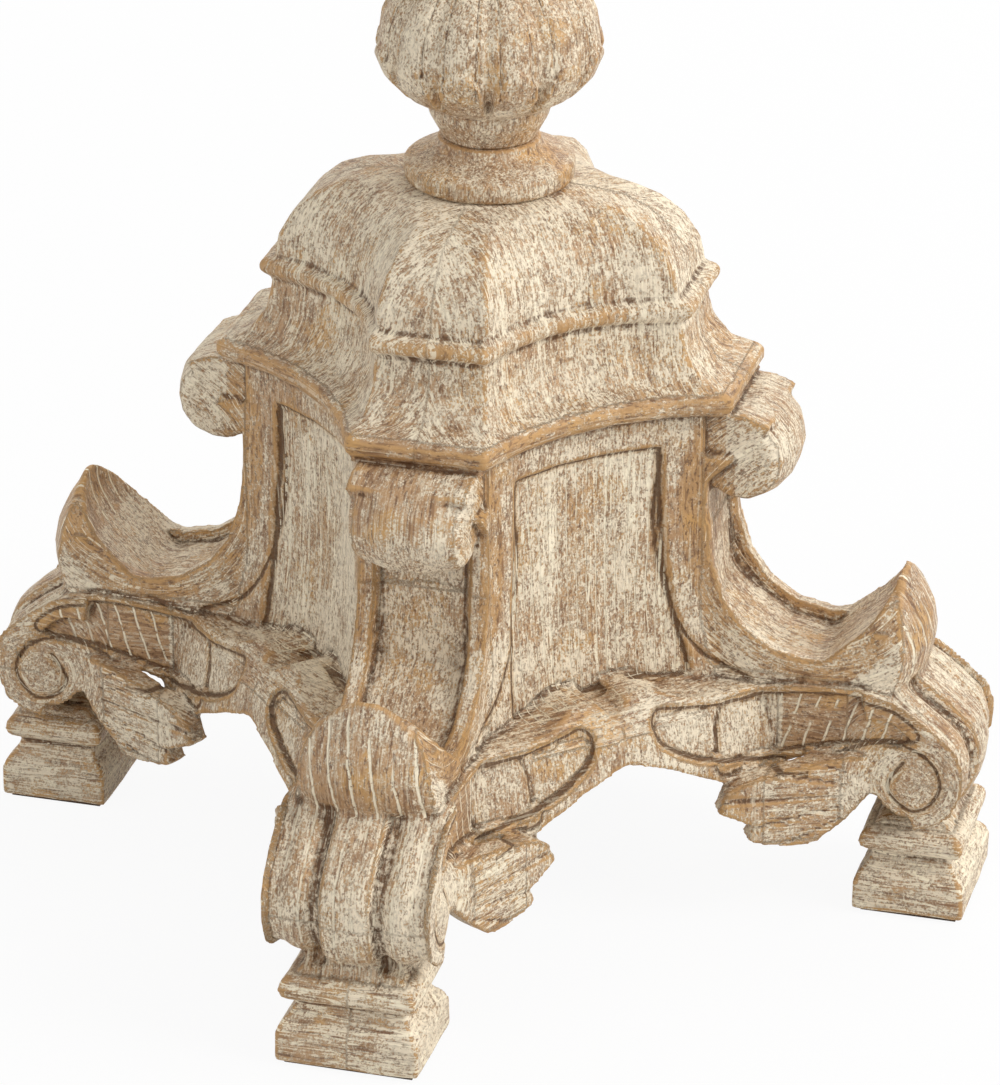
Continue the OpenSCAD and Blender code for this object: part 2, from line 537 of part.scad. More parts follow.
module fluted_shaft() color("tan") bored(pipe_bore, shaft_z, shaft_h) translate([0, 0, shaft_z]) {
    per = 4;
    count = shaft_flutes * per;
    levels = [[17.6, 8], [18.6, 14], [18.8, 30], [16.6, shaft_h - 30], [15.6, shaft_h - 14], [14.4, shaft_h - 8]];
    skin([for (l = levels) [for (i = [0:count - 1]) let (b = 360 * i / count, fluted = l[1] > 10 && l[1] < shaft_h - 10,
            r = l[0] - (fluted ? 1.8 - shaft_groove(i, per) : 0)) [r * cos(b), r * sin(b)]]],
        [for (l = levels) l[1]]);
    rotate_extrude() polygon([[0, 0], [20, 0], [21, 1.2], [21, 4], [19, 5.5], [18, 8.5], [0, 8.5]]);
    translate([0, 0, shaft_h - 8.5]) rotate_extrude() polygon([[0, 0], [15, 0], [16, 3], [18.5, 5], [18.5, 8.5], [0, 8.5]]);
}
function urn_lobe(i, per) = abs(sin(180 * i / per)) ^ 0.6;
module gadrooned_urn() color("tan") bored(pipe_bore, urn_z, urn_h) resize([0, 0, 0]) translate([0, 0, urn_z]) {
    per = 5;
    count = urn_lobes * per;
    levels = [[16, 14], [22, 20], [29, 30], [34, 42], [urn_r, 54], [urn_r, 62]];
    skin([for (l = levels) [for (i = [0:count - 1])
            let (b = 360 * i / count, r = l[0] - 3 + 3 * urn_lobe(i, per)) [r * cos(b), r * sin(b)]]],
        [for (l = levels) l[1]]);
    rotate_extrude($fn = 36) polygon(concat([[0, 0], [19, 0], [20, 2], [19, 5], [13, 8], [12.5, 12], [15, 15.5], [0, 15.5]]));
    translate([0, 0, 61]) rotate_extrude($fn = 36) polygon(concat([[0, 0], [urn_r - 1, 0], [urn_r + 2, 2], [urn_r + 2, 5], [urn_r - 1, 7]],
        smooth([[urn_r - 4, 8], [24, 16], [16, 24], [13.5, 32], [13.5, urn_h - 66]], closed = false, steps = 3),
        [[15.5, urn_h - 66], [17, urn_h - 64], [17, urn_h - 61], [0, urn_h - 61]]));
}
module upper_stem() color("tan") bored(pipe_bore, stem_z, stem_h) translate([0, 0, stem_z]) rotate_extrude()
    polygon(concat([[0, 0], [16, 0], [17.5, 1.5], [17.5, 4], [15, 6]], smooth([[13, 8], [11.5, 14], [12.5, 22]], closed = false, steps = 3),
        [for (a = [-70:20:70]) [12 + 7 * cos(a), 31 + 7.5 * sin(a)]],
        smooth([[12, 40], [11, 46], [13, stem_h - 8], [18, stem_h - 4]], closed = false, steps = 3),
        [[20, stem_h - 3], [20, stem_h], [0, stem_h]]));
module drip_pan() color("tan") bored(pipe_bore, pan_z, pan_h) translate([0, 0, pan_z]) rotate_extrude($fn = 96)
    polygon(concat([[0, 0], [22, 0]], smooth([[26, 2], [38, 7], [pan_r - 7, 16], [pan_r - 1, pan_h - 3]], closed = false, steps = 3),
        [[pan_r, pan_h - 1.5], [pan_r - 1, pan_h], [pan_r - 3.5, pan_h - 0.5]],
        smooth([[pan_r - 9, 21], [40, 13], [candle_r + 7, pan_floor]], closed = false, steps = 3),
        [[candle_r + 7, pan_floor], [0, pan_floor]]));
module candle_sleeve() color("ivory") difference() {
    translate([0, 0, candle_z]) rotate_extrude() polygon([[0, 0], [candle_r + 3, 0], [candle_r + 3, 3], [candle_r, 5],
        [candle_r, candle_h - 1], [candle_r - 1, candle_h], [0, candle_h]]);
    translate([0, 0, candle_z + 6]) cylinder(r = candle_r - 2.5, h = candle_h - 12);
    translate([0, 0, candle_z - 1]) cylinder(r = pipe_bore, h = candle_h + 2);
}

// ---------- pipe and fasteners ----------
pipe_bottom = plate_z - 12;
pipe_joint = knop_z + 16;
pipe_top = socket_z + 9;
module pipe(z0, z1) color("silver") difference() {
    translate([0, 0, z0]) cylinder(r = pipe_r, h = z1 - z0);
    translate([0, 0, z0 - 1]) cylinder(r = pipe_r - pipe_wall, h = z1 - z0 + 2);
}
module lamp_pipe_lower() pipe(pipe_bottom, pipe_joint);
module lamp_pipe_upper() pipe(pipe_joint + 0.5, pipe_top);
module pipe_coupling() color("silver") difference() {
    translate([0, 0, pipe_joint - 10]) cylinder(r = pipe_r + 2.2, h = 20);
    translate([0, 0, pipe_joint - 11]) cylinder(r = pipe_r, h = 22);
}
module hex_nut(z) color("gold") difference() {
    translate([0, 0, z]) cylinder(r = nut_r, h = nut_h, $fn = 6);
    translate([0, 0, z - 1]) cylinder(r = pipe_r, h = nut_h + 2);
}
module base_washer() color("silver") difference() {
    translate([0, 0, plate_z - 1.5]) cylinder(r = 14, h = 1.5);
    translate([0, 0, plate_z - 2]) cylinder(r = pipe_bore, h = 3);
}
module base_nut() hex_nut(plate_z - 1.5 - nut_h);
module top_nut() hex_nut(check_z - 6 - nut_h);
module check_ring() color("gold") bored(pipe_bore, check_z, check_t) translate([0, 0, check_z]) rotate_extrude()
    polygon([[0, 0], [candle_r + 1, 0], [candle_r + 1.5, 1], [candle_r, 2.2], [12, check_t], [0, check_t]]);

// ---------- socket ----------
module harp_saddle() color("gold") {
    difference() {
        union() {
            upright(12) polygon(concat([[-lug_x + 3, saddle_z], [lug_x - 3, saddle_z], [lug_x - 1, saddle_z + 1], [lug_x + 0.8, saddle_z + 5],
                [lug_x + 0.8, saddle_z + 8], [lug_x - 0.8, saddle_z + 8], [lug_x - 0.8, saddle_z + 5.4], [lug_x - 3, saddle_z + saddle_t]],
                [[-lug_x + 3, saddle_z + saddle_t], [-lug_x + 0.8, saddle_z + 5.4], [-lug_x + 0.8, saddle_z + 8], [-lug_x - 0.8, saddle_z + 8],
                [-lug_x - 0.8, saddle_z + 5], [-lug_x + 1, saddle_z + 1]]));
            for (s = [-1, 1]) translate([s * lug_x, 0, saddle_z + 7]) cylinder(r = lug_r, h = 10);
        }
        translate([0, 0, saddle_z - 1]) cylinder(r = pipe_bore, h = 4);
    }
}
lug_x = 30;                            // half the width between the saddle's lugs
lug_r = 2;
lug_top = saddle_z + 17;
module socket_cap() color("gold") difference() {
    translate([0, 0, socket_z]) rotate_extrude() polygon(concat([[0, 0], [8, 0], [8, 4]],
        [for (a = [0:15:90]) [8 + (socket_r - 8) * sin(a), 4 + 9 * (1 - cos(a))]], [[socket_r, cap_h], [socket_r - 1, cap_h]],
        [for (a = [90:-15:0]) [7 + (socket_r - 8) * sin(a), 5 + 9 * (1 - cos(a))]], [[7, 6], [7, 3], [0, 3]]));
    translate([0, 0, socket_z - 1]) cylinder(r = pipe_bore, h = 5);
    translate([0, 8, socket_z + 2]) rotate([90, 0, 0]) cylinder(r = 0.9, h = 8, center = true);
}
module socket_set_screw() color("silver") translate([0, pipe_r + 0.1, socket_z + 2]) rotate([-90, 0, 0]) difference() {
    union() {
        cylinder(r = 0.7, h = 3.4);
        translate([0, 0, 3.3]) cylinder(r = 1.8, h = 1.4);
    }
    translate([-2, -0.25, 4]) cube([4, 0.5, 2]);
}
interior_z = socket_z + 10;
module socket_interior() color("saddlebrown") difference() {
    union() {
        translate([0, 0, interior_z]) cylinder(r = socket_r - 3.2, h = shell_z + 13 - interior_z);
        translate([0, 0, shell_z + 2]) cylinder(r = socket_r - 2.2, h = 8);
    }
    translate([0, 0, interior_z - 1]) cylinder(r = 3, h = 40);
    translate([0, 0, stem_axis_z]) rotate([90, 0, 0]) cylinder(r = 3.2, h = 40);
}
stem_axis_z = shell_z + 6;
module socket_liner() color("beige") difference() {
    translate([0, 0, shell_z + 1]) cylinder(r = socket_r - shell_t - 0.2, h = socket_h - 4);
    translate([0, 0, shell_z]) cylinder(r = socket_r - shell_t - 1, h = socket_h + 2);
    translate([0, 0, stem_axis_z]) rotate([90, 0, 0]) cylinder(r = 3.6, h = 40);
}
module socket_shell() color("gold") difference() {
    translate([0, 0, shell_z]) rotate_extrude() polygon([[socket_r - shell_t, slack], [socket_r + 0.8, slack], [socket_r + 0.8, 2.5],
        [socket_r, 3.5], [socket_r, socket_h - 2], [socket_r + 0.8, socket_h - 1], [socket_r + 0.8, socket_h], [socket_r - shell_t, socket_h]]);
    translate([0, 0, stem_axis_z]) rotate([90, 0, 0]) cylinder(r = 3.6, h = 40);
}
module screw_shell() color("gold") difference() {
    translate([0, 0, shell_z + 13]) cylinder(r = bulb_cap_r + 1.1, h = socket_h - 16);
    translate([0, 0, shell_z + 12.5]) cylinder(r = bulb_cap_r + slack, h = socket_h);
}
module centre_contact() color("gold") {
    translate([0, 0, shell_z + 13]) cylinder(r = 2.5, h = bulb_seat_z - shell_z - 13);
    translate([0, 0, shell_z + 8]) cylinder(r = 2.6, h = 5);
}
module switch_stem() color("black") translate([0, 0, stem_axis_z]) rotate([90, 0, 0])
    translate([0, 0, 6]) cylinder(r = 2.6, h = socket_r + 8);
module switch_knob() color("black") translate([0, -socket_r - 5, stem_axis_z]) rotate([90, 0, 0]) difference() {
    union() {
        cylinder(r = knob_r - 1.2, h = 3);
        translate([0, 0, 2]) for (k = [0:7]) rotate(45 * k) translate([knob_r - 1.7, 0, 0]) cylinder(r = 1.4, h = 12, $fn = 24);
        translate([0, 0, 2]) cylinder(r = knob_r - 0.8, h = 12);
    }
    translate([0, 0, -1]) cylinder(r = 2.6, h = 10.02);
}
module bulb_cap() color("silver") difference() {
    translate([0, 0, bulb_seat_z]) rotate_extrude() polygon([[0, 0], [3.5, 0], [4.5, 1.5], [bulb_cap_r - 3, 4], [bulb_cap_r - 0.8, 6],
        [bulb_cap_r, 8], [bulb_cap_r, bulb_cap_h], [0, bulb_cap_h]]);
    translate([0, 0, bulb_seat_z + 8]) cylinder(r = bulb_cap_r - 0.8, h = 40);
}
function bulb_profile(inset) = let (r = bulb_r - inset, c = bulb_len - bulb_r) concat(
    smooth([[bulb_cap_r - 1 - inset, bulb_cap_h - 1], [bulb_cap_r + 1 - inset, bulb_cap_h + 8], [18 - inset, 44],
        [25 - inset, 58], [r * cos(20), c - r * sin(20)]], closed = false, steps = 3),
    [for (a = [-20:12:88]) [r * cos(a), c + r * sin(a)]]);
module bulb_glass() color("white") translate([0, 0, bulb_seat_z]) difference() {
    rotate_extrude() polygon(concat([[0, bulb_cap_h - 1]], bulb_profile(0), [[0, bulb_len]]));
    rotate_extrude() polygon(concat([[0, bulb_cap_h + 1]], bulb_profile(1), [[0, bulb_len - 1]]));
}
module bulb_filament() color("khaki") translate([0, 0, bulb_seat_z + bulb_cap_h + 1]) {
    cylinder(r = 6, h = 16);
    for (k = [0:3]) rotate(90 * k) translate([4, 0, 15]) cylinder(r = 1, h = 32, $fn = 24);
}

// ---------- harp, shade and finial ----------
function harp_path() = let (h = seat_z - seat_h + 1, z0 = lug_top + 0.5, w = harp_half_w)
    concat([[lug_x, z0]], smooth([[lug_x, z0 + 18], [w - 6, z0 + 60], [w, z0 + 105], [w - 3, z0 + 155],
        [w - 20, z0 + 200], [12, h - 5], [0, h - 1]], closed = false, steps = 5));
module harp_wire() color("gold") for (s = [0, 1]) mirror([s, 0, 0]) tube_xz(harp_path(), harp_wire_r);
module harp_seat() color("gold") {
    difference() {
        translate([0, 0, seat_z - seat_h]) rotate_extrude() polygon([[0, 0], [5, 0], [8, 3], [8, 5], [6, seat_h], [0, seat_h]]);
        translate([0, 0, seat_z - seat_h]) rotate([0, 90, 0]) cylinder(r = harp_wire_r + 1.4, h = 40, center = true);
    }
    translate([0, 0, seat_z - 1]) cylinder(r = 3, h = washer_t + 8.7);
}
module harp_sleeve(s) color("gold") translate([s * lug_x, 0, lug_top - 7]) difference() {
    rotate_extrude() polygon([[0, 0], [4, 0], [4, 1], [3.6, 2], [3.6, 10], [4, 11], [4, 12], [0, 12]]);
    translate([0, 0, -1]) cylinder(r = harp_wire_r + slack, h = 14);
}
module harp_sleeve_left() harp_sleeve(-1);
module harp_sleeve_right() harp_sleeve(1);
module shade_fabric() color("linen") translate([0, 0, shade_bottom_z]) rotate_extrude($fn = 128)
    polygon([[shade_bottom_r - shade_t, 0], [shade_bottom_r, 0], [shade_top_r, shade_h], [shade_top_r - shade_t, shade_h]]);
module wire_ring(r, z) color("white") translate([0, 0, z]) rotate_extrude($fn = 128) translate([r, 0]) circle(ring_wire_r, $fn = 24);
ring_top_r = shade_top_r - shade_t - ring_wire_r - 0.8;
module shade_top_ring() wire_ring(ring_top_r, shade_top_z - 3);
module shade_bottom_ring() wire_ring(shade_bottom_r - shade_t - ring_wire_r - 0.8, shade_bottom_z + 3);
module shade_spider() color("white") for (k = [0:2]) rotate(90 + 120 * k) {
    hull_r = ring_top_r - ring_wire_r - 0.1;
    rise = shade_top_z - 3 - (seat_z + 1);
    start = 10.2;
    run = hull_r - start;
    translate([start, 0, seat_z + 1]) rotate([0, 90 - atan(rise / run), 0]) cylinder(r = 1, h = norm([rise, run]) - 0.3, $fn = 24);
}
module shade_washer() color("white") translate([0, 0, seat_z + 0.05]) difference() {
    cylinder(r = 10, h = washer_t);
    translate([0, 0, -1]) cylinder(r = 3.2, h = 4);
}
module finial_base() color("gold") translate([0, 0, finial_z + 0.1]) difference() {
    rotate_extrude() polygon([[0, 0], [7, 0], [7, 1.2], [4.5, 3], [4, 6], [5.5, 9], [0, 9]]);
    translate([0, 0, -1]) cylinder(r = 3 + 0.05, h = 9);
}
module finial_knob() color("tan") translate([0, 0, finial_z + 9.1]) rotate_extrude() polygon(concat([[0, 0], [5.5, 0]],
    [for (a = [-60:20:80]) [9 * cos(a), 11 + 10 * sin(a)]], [[2.6, finial_h - 17], [3.4, finial_h - 15],
    [2.4, finial_h - 11], [0, finial_h - 9]]));

pedestal_casting();
ballast_block();
bottom_plate();
plate_screws();
felt_pads();
cord_bushing();
socle_disc();
fluted_ball();
spool_ring();
leafed_vase();
ringed_knop();
fluted_shaft();
gadrooned_urn();
upper_stem();
drip_pan();
candle_sleeve();
check_ring();
lamp_pipe_lower();
lamp_pipe_upper();
pipe_coupling();
base_washer();
base_nut();
top_nut();
harp_saddle();
socket_cap();
socket_set_screw();
socket_interior();
socket_liner();
socket_shell();
screw_shell();
centre_contact();
switch_stem();
switch_knob();
bulb_cap();
bulb_glass();
bulb_filament();
harp_wire();
harp_seat();
harp_sleeve_left();
harp_sleeve_right();
shade_fabric();
shade_top_ring();
shade_bottom_ring();
shade_spider();
shade_washer();
finial_base();
finial_knob();
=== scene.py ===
import math

import bpy
import numpy as np
from mathutils import Matrix, Vector


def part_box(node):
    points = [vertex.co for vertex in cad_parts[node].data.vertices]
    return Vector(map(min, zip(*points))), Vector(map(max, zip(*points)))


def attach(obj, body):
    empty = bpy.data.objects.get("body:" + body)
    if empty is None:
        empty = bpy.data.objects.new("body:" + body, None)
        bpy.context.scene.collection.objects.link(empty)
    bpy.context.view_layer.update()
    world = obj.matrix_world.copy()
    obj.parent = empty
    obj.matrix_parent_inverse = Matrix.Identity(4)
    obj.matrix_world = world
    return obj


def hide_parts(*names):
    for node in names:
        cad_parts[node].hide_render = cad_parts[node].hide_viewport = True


bl_info = {
    "name": "Candlestick floor lamp",
    "version": (1, 0, 0),
    "blender": (4, 5, 0),
    "location": "3D View > Sidebar > Lamp",
    "description": "Dresses the lamp's construction model with its carved, limed and gilded finish",
    "category": "Add Mesh",
}

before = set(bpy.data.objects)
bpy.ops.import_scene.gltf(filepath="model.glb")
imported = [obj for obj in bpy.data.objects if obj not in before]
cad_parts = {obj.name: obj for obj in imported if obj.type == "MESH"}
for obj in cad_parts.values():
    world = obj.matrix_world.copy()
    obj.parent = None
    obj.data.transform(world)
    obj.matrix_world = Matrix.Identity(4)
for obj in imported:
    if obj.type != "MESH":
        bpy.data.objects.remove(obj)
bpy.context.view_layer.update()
MM = 0.001

# ---------------------------------------------------------------- the pedestal's places, in millimetres
# heights: the foot blocks' top, the body's top, and the cornice's underside and flat band
FOOT_TOP = 37
BODY_TOP = 206.2
CORNICE = 207.0
CORNICE_BAND = 9
# middles of the big scroll and of the hollow over the leg, as distance out along the leg and height
VOLUTE = (179.5, 62.0)
HOLLOW = (137.0, 152.0)
# a leg is a thin fin near the body and a wider arm further out
FIN_HALF = 27.2
FIN_START = 92
ARM_START = 124
# middle of the body's corner ribs, and the distance from the axis that its sides stay within
CORNER_RIB = 24.5
BODY_SIDE = 92
# a face is on a leg's side where its direction points across the leg by more than this share
SIDE_SHARE = 0.65
# the leaf under the arm: its root's distance out, distance across and height, and its way in and across
LEAF_ROOT = (160.0, 27.0, 56.0)
LEAF_AWAY = (0.908, 0.419)
# the cut that parts the leaf's tip from its lower lobe: turn from the leg's line and lean, in degrees
NOTCH_TURN = 24.8
NOTCH_LEAN = 24

# outlines of the sunk fields and incised lines: across and up on a panel, out and up on a leg
PANEL_TOP = 193
PANEL_FIELD = [(-31.5, PANEL_TOP), (31.5, PANEL_TOP), (31.8, 175), (33, 146), (36.5, 124), (42.5, 97),
               (30, 98), (16, 100.5), (8, 99), (0, 97.5), (-12, 98), (-24, 92), (-36, 89), (-35.5, 110),
               (-33.5, 146), (-31.8, 175)]
ARM_FIELD = [(104, 90), (115, 91.5), (131, 94), (148, 95.5), (160, 95), (172, 92), (181, 84), (176, 79),
             (164, 77.5), (148, 74.5), (132, 70), (118, 67), (106, 66)]
WING_FIELD = [(17, 95), (13.3, 91), (15.5, 84), (20.5, 79.5), (28, 75), (37, 71.5), (50, 68.5), (76, 67.5),
              (76, 91), (46, 91.5), (26, 93.8)]
HOLLOW_EDGE = [(95, 196), (94, 178), (93, 163), (96, 145), (101, 129), (109, 118), (121, 110), (135, 107),
               (147, 109), (158, 117), (165, 128), (169, 140)]
VOLUTE_LINE = [(152, 73), (163, 76.5), (175, 77.5), (186, 72), (190, 62), (184, 52), (175, 51.5), (169, 60),
               (175, 70.5)]
SIDE_LINE = [(77, 190), (74, 165), (77, 140), (85, 118), (96, 104), (112, 97)]

# ---------------------------------------------------------------- other sizes
BALL_LOBES = 12
# a smoothing round's weight, and that of the round after it, which swells the form back
SOFTEN = (0.6, -0.35)
# the shade, in metres: how far its outside lies outside the top ring, the thickness of its cloth and of its
# hems, and how far the hems stand out of the cloth and past its ends
OVER_RING = 0.0018
CLOTH_THICK = 0.0011
HEM_THICK = 0.0006
HEM_STAND = 0.0007
HEM_END = 0.0004

# browns of the coats under the lime wash, where it was rubbed off
BROWN = (0.235, 0.14, 0.085)
UMBER = (0.20, 0.105, 0.055)
DEEP_BROWN = (0.13, 0.07, 0.04)
FLECK_BROWN = (0.24, 0.13, 0.07)

# name of the material, its two colours and its roughness
METALS = {
    "brass": ("antique_brass", (0.42, 0.28, 0.12), (0.22, 0.15, 0.08), 0.36),
    "bright_brass": ("bright_brass", (0.72, 0.52, 0.22), (0.55, 0.38, 0.16), 0.25),
    "zinc": ("zinc_plated_steel", (0.62, 0.62, 0.6), (0.45, 0.45, 0.44), 0.34),
    "tin": ("bulb_cap_metal", (0.75, 0.75, 0.74), (0.6, 0.6, 0.6), 0.28),
}
# name of the material, its two colours and its roughness, then its texture's scale, depth, detail and sheen
SURFACES = {
    "iron": ("cast_iron", (0.06, 0.06, 0.062), (0.1, 0.095, 0.09), 0.75, 700, 0.0006),
    "black_steel": ("black_painted_steel", (0.018, 0.018, 0.018), (0.03, 0.03, 0.03), 0.45, 600),
    "felt": ("pressed_felt", (0.06, 0.035, 0.02), (0.13, 0.08, 0.05), 0.95, 1800, 0.0005, 6, 0.3),
    "rubber": ("black_rubber", (0.012, 0.012, 0.012), (0.025, 0.025, 0.025), 0.7, 900),
    "plastic": ("black_moulding", (0.01, 0.01, 0.01), (0.02, 0.02, 0.02), 0.35, 900, 0.00004),
    "phenolic": ("brown_phenolic", (0.05, 0.022, 0.012), (0.08, 0.035, 0.02), 0.4, 600, 0.00005),
    "card": ("pressed_card", (0.52, 0.42, 0.29), (0.62, 0.53, 0.38), 0.9, 1200, 0.0001),
    "wire": ("white_coated_wire", (0.78, 0.76, 0.71), (0.7, 0.68, 0.62), 0.4, 500, 0.00004),
    "ivory": ("ivory_candle", (0.62, 0.53, 0.39), (0.72, 0.64, 0.5), 0.55, 160, 0.0003),
    "core": ("warm_core", (0.75, 0.62, 0.35), (0.85, 0.75, 0.5), 0.5, 500),
}
# the finish of each construction node, also of those that a finer piece replaces
NODE_FINISHES = {
    "limed": ("pedestal_casting", "fluted_ball", "socle_disc", "spool_ring", "leafed_vase", "ringed_knop",
              "fluted_shaft", "gadrooned_urn", "upper_stem", "drip_pan", "finial_knob"),
    "brass": ("check_ring", "harp_saddle", "socket_cap", "socket_shell", "harp_seat", "harp_wire",
              "harp_sleeve_left", "harp_sleeve_right", "finial_base", "top_nut", "base_nut"),
    "bright_brass": ("screw_shell", "centre_contact"),
    "zinc": ("lamp_pipe_lower", "lamp_pipe_upper", "pipe_coupling", "base_washer", "plate_screws",
             "socket_set_screw"),
    "iron": ("ballast_block",),
    "black_steel": ("bottom_plate",),
    "felt": ("felt_pads",),
    "rubber": ("cord_bushing",),
    "plastic": ("switch_stem", "switch_knob"),
    "phenolic": ("socket_interior",),
    "card": ("socket_liner",),
    "tin": ("bulb_cap",),
    "core": ("bulb_filament",),
    "glass": ("bulb_glass",),
    "wire": ("shade_top_ring", "shade_bottom_ring", "shade_spider", "shade_washer"),
    "ivory": ("candle_sleeve",),
    "linen": ("shade_fabric",),
}
# turned pieces: node, spacing of the faces in metres, rounds of smoothing, amount of lime
TURNED = (
    ("socle_disc", 0.0009, 3, 0.36),
    ("spool_ring", 0.0008, 3, 0.45),
    ("leafed_vase", 0.0012, 4, 0.5),
    ("ringed_knop", 0.0008, 3, 0.45),
    ("fluted_shaft", 0.0011, 3, 0.55),
    ("gadrooned_urn", 0.0011, 4, 0.5),
    ("upper_stem", 0.0009, 3, 0.5),
    ("drip_pan", 0.0012, 3, 0.45),
    ("finial_knob", 0.0006, 3, 0.45),
)


# ---------------------------------------------------------------- settings
class LampFinishSettings(bpy.types.PropertyGroup):
    lime: bpy.props.FloatVectorProperty(
        name="Lime wash", description="Colour of the brushed off-white coat",
        subtype="COLOR", size=3, min=0, max=1, default=(0.92, 0.80, 0.61))
    tan: bpy.props.FloatVectorProperty(
        name="Tan coat", description="Colour of the coat under the lime wash",
        subtype="COLOR", size=3, min=0, max=1, default=(0.47, 0.285, 0.148))
    gold: bpy.props.FloatVectorProperty(
        name="Gilding", description="Colour of the rubbed gold on edges",
        subtype="COLOR", size=3, min=0, max=1, default=(0.56, 0.325, 0.125))
    dark: bpy.props.FloatVectorProperty(
        name="Glaze", description="Colour of the dark glaze left in hollows",
        subtype="COLOR", size=3, min=0, max=1, default=(0.11, 0.05, 0.02))
    mesh_step: bpy.props.FloatProperty(
        name="Mesh step", description="Spacing of the carved surface's faces",
        unit="LENGTH", min=0.0008, max=0.004, default=0.00125)


class LampShadeSettings(bpy.types.PropertyGroup):
    linen: bpy.props.FloatVectorProperty(
        name="Linen", description="Colour of the shade's linen",
        subtype="COLOR", size=3, min=0, max=1, default=(0.60, 0.54, 0.44))
    hem: bpy.props.FloatProperty(
        name="Hem height", description="Height of the folded hem at each rim",
        unit="LENGTH", min=0.005, max=0.02, default=0.011)
    thread: bpy.props.FloatProperty(
        name="Thread pitch", description="Distance between two threads of the weave",
        unit="LENGTH", min=0.0005, max=0.003, default=0.0011)


class LampStageSettings(bpy.types.PropertyGroup):
    azimuth: bpy.props.FloatProperty(
        name="View azimuth", description="Camera angle round the lamp, in degrees", default=-29.42)
    elevation: bpy.props.FloatProperty(
        name="View elevation", description="Camera angle above the horizon, in degrees", default=25.53)
    distance: bpy.props.FloatProperty(
        name="View distance", description="Camera distance from the pedestal",
        unit="LENGTH", default=2.1258)
    lens: bpy.props.FloatProperty(name="Lens", description="Focal length in millimetres", default=178.13)
    light: bpy.props.FloatProperty(name="Light", description="Level of the studio light", default=1.0)


# ---------------------------------------------------------------- mesh tools
def activate(obj):
    """Makes the object the only selected and the active one."""
    bpy.ops.object.select_all(action="DESELECT")
    obj.select_set(True)
    bpy.context.view_layer.objects.active = obj


def apply_modifier(obj, kind, **settings):
    """Adds a modifier with these settings and applies it."""
    activate(obj)
    mod = obj.modifiers.new(kind.lower(), kind)
    for key, value in settings.items():
        setattr(mod, key, value)
    bpy.ops.object.modifier_apply(modifier=mod.name)


def settle(obj):
    """Puts the object's turn, place and scale into its mesh."""
    activate(obj)
    bpy.ops.object.transform_apply(location=True, rotation=True, scale=True)


def linked(name, mesh):
    """A new object for a mesh, in the scene."""
    obj = bpy.data.objects.new(name, mesh)
    bpy.context.scene.collection.objects.link(obj)
    return obj


def copy_of(node, name):
    """A copy of a construction node as one closed surface of its own."""
    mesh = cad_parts[node].data.copy()
    mesh.materials.clear()
    mesh.name = name
    obj = linked(name, mesh)
    activate(obj)
    bpy.ops.object.mode_set(mode="EDIT")
    bpy.ops.mesh.select_all(action="SELECT")
    bpy.ops.mesh.remove_doubles(threshold=1e-5)
    bpy.ops.object.mode_set(mode="OBJECT")
    return obj


def twin(obj, name):
    """A second object with its own copy of the mesh."""
    return linked(name, obj.data.copy())


def cut(obj, place, normal):
    """Takes away what lies on the side that the normal points to, and closes the cut."""
    activate(obj)
    bpy.ops.object.mode_set(mode="EDIT")
    bpy.ops.mesh.select_all(action="SELECT")
    bpy.ops.mesh.bisect(plane_co=[v * MM for v in place], plane_no=normal,
                        use_fill=True, clear_outer=True, threshold=1e-6)
    bpy.ops.object.mode_set(mode="OBJECT")


def points(obj):
    co = np.empty(len(obj.data.vertices) * 3)
    obj.data.vertices.foreach_get("co", co)
    return co.reshape(-1, 3)


def normals(obj):
    no = np.empty(len(obj.data.vertices) * 3)
    obj.data.vertices.foreach_get("normal", no)
    return no.reshape(-1, 3)


def set_points(obj, co):
    obj.data.vertices.foreach_set("co", np.ascontiguousarray(co).ravel())
    obj.data.update()


def edges(obj):
    e = np.empty(len(obj.data.edges) * 2, dtype=np.int64)
    obj.data.edges.foreach_get("vertices", e)
    return e.reshape(-1, 2)


def blurred(values, e, rounds, weights=(0.6,)):
    """Values averaged with their neighbours', a number of rounds, with the weights taken in turn."""
    n = len(values)
    degree = np.maximum(np.bincount(e.ravel(), minlength=n), 1)[:, None]
    out = values.copy()
    for k in range(rounds):
        total = np.empty_like(out)
        for c in range(out.shape[1]):
            forward = np.bincount(e[:, 0], out[e[:, 1], c], n)
            total[:, c] = forward + np.bincount(e[:, 1], out[e[:, 0], c], n)
        out += weights[k % len(weights)] * (total / degree - out)
    return out


def ramp(x, low, high):
    """A smooth rise from 0 at the low value to 1 at the high one."""
    t = np.clip((x - low) / (high - low), 0, 1)
    return t * t * (3 - 2 * t)


def inside(polygon, u, v):
    """True where the points lie inside the polygon."""
    hit = np.zeros(len(u), dtype=bool)
    for k in range(len(polygon)):
        (u0, v0), (u1, v1) = polygon[k], polygon[k - 1]
        if v0 == v1:
            continue
        crosses = (v0 > v) != (v1 > v)
        hit ^= crosses & (u < (u1 - u0) * (v - v0) / (v1 - v0) + u0)
    return hit


def to_line(path, u, v):
    """Distance from each point to the nearest stretch of a path."""
    best = np.full(len(u), 1e9)
    for k in range(len(path) - 1):
        (u0, v0), (u1, v1) = path[k], path[k + 1]
        du, dv = u1 - u0, v1 - v0
        s = np.clip(((u - u0) * du + (v - v0) * dv) / (du * du + dv * dv), 0, 1)
        best = np.minimum(best, np.hypot(u - u0 - s * du, v - v0 - s * dv))
    return best


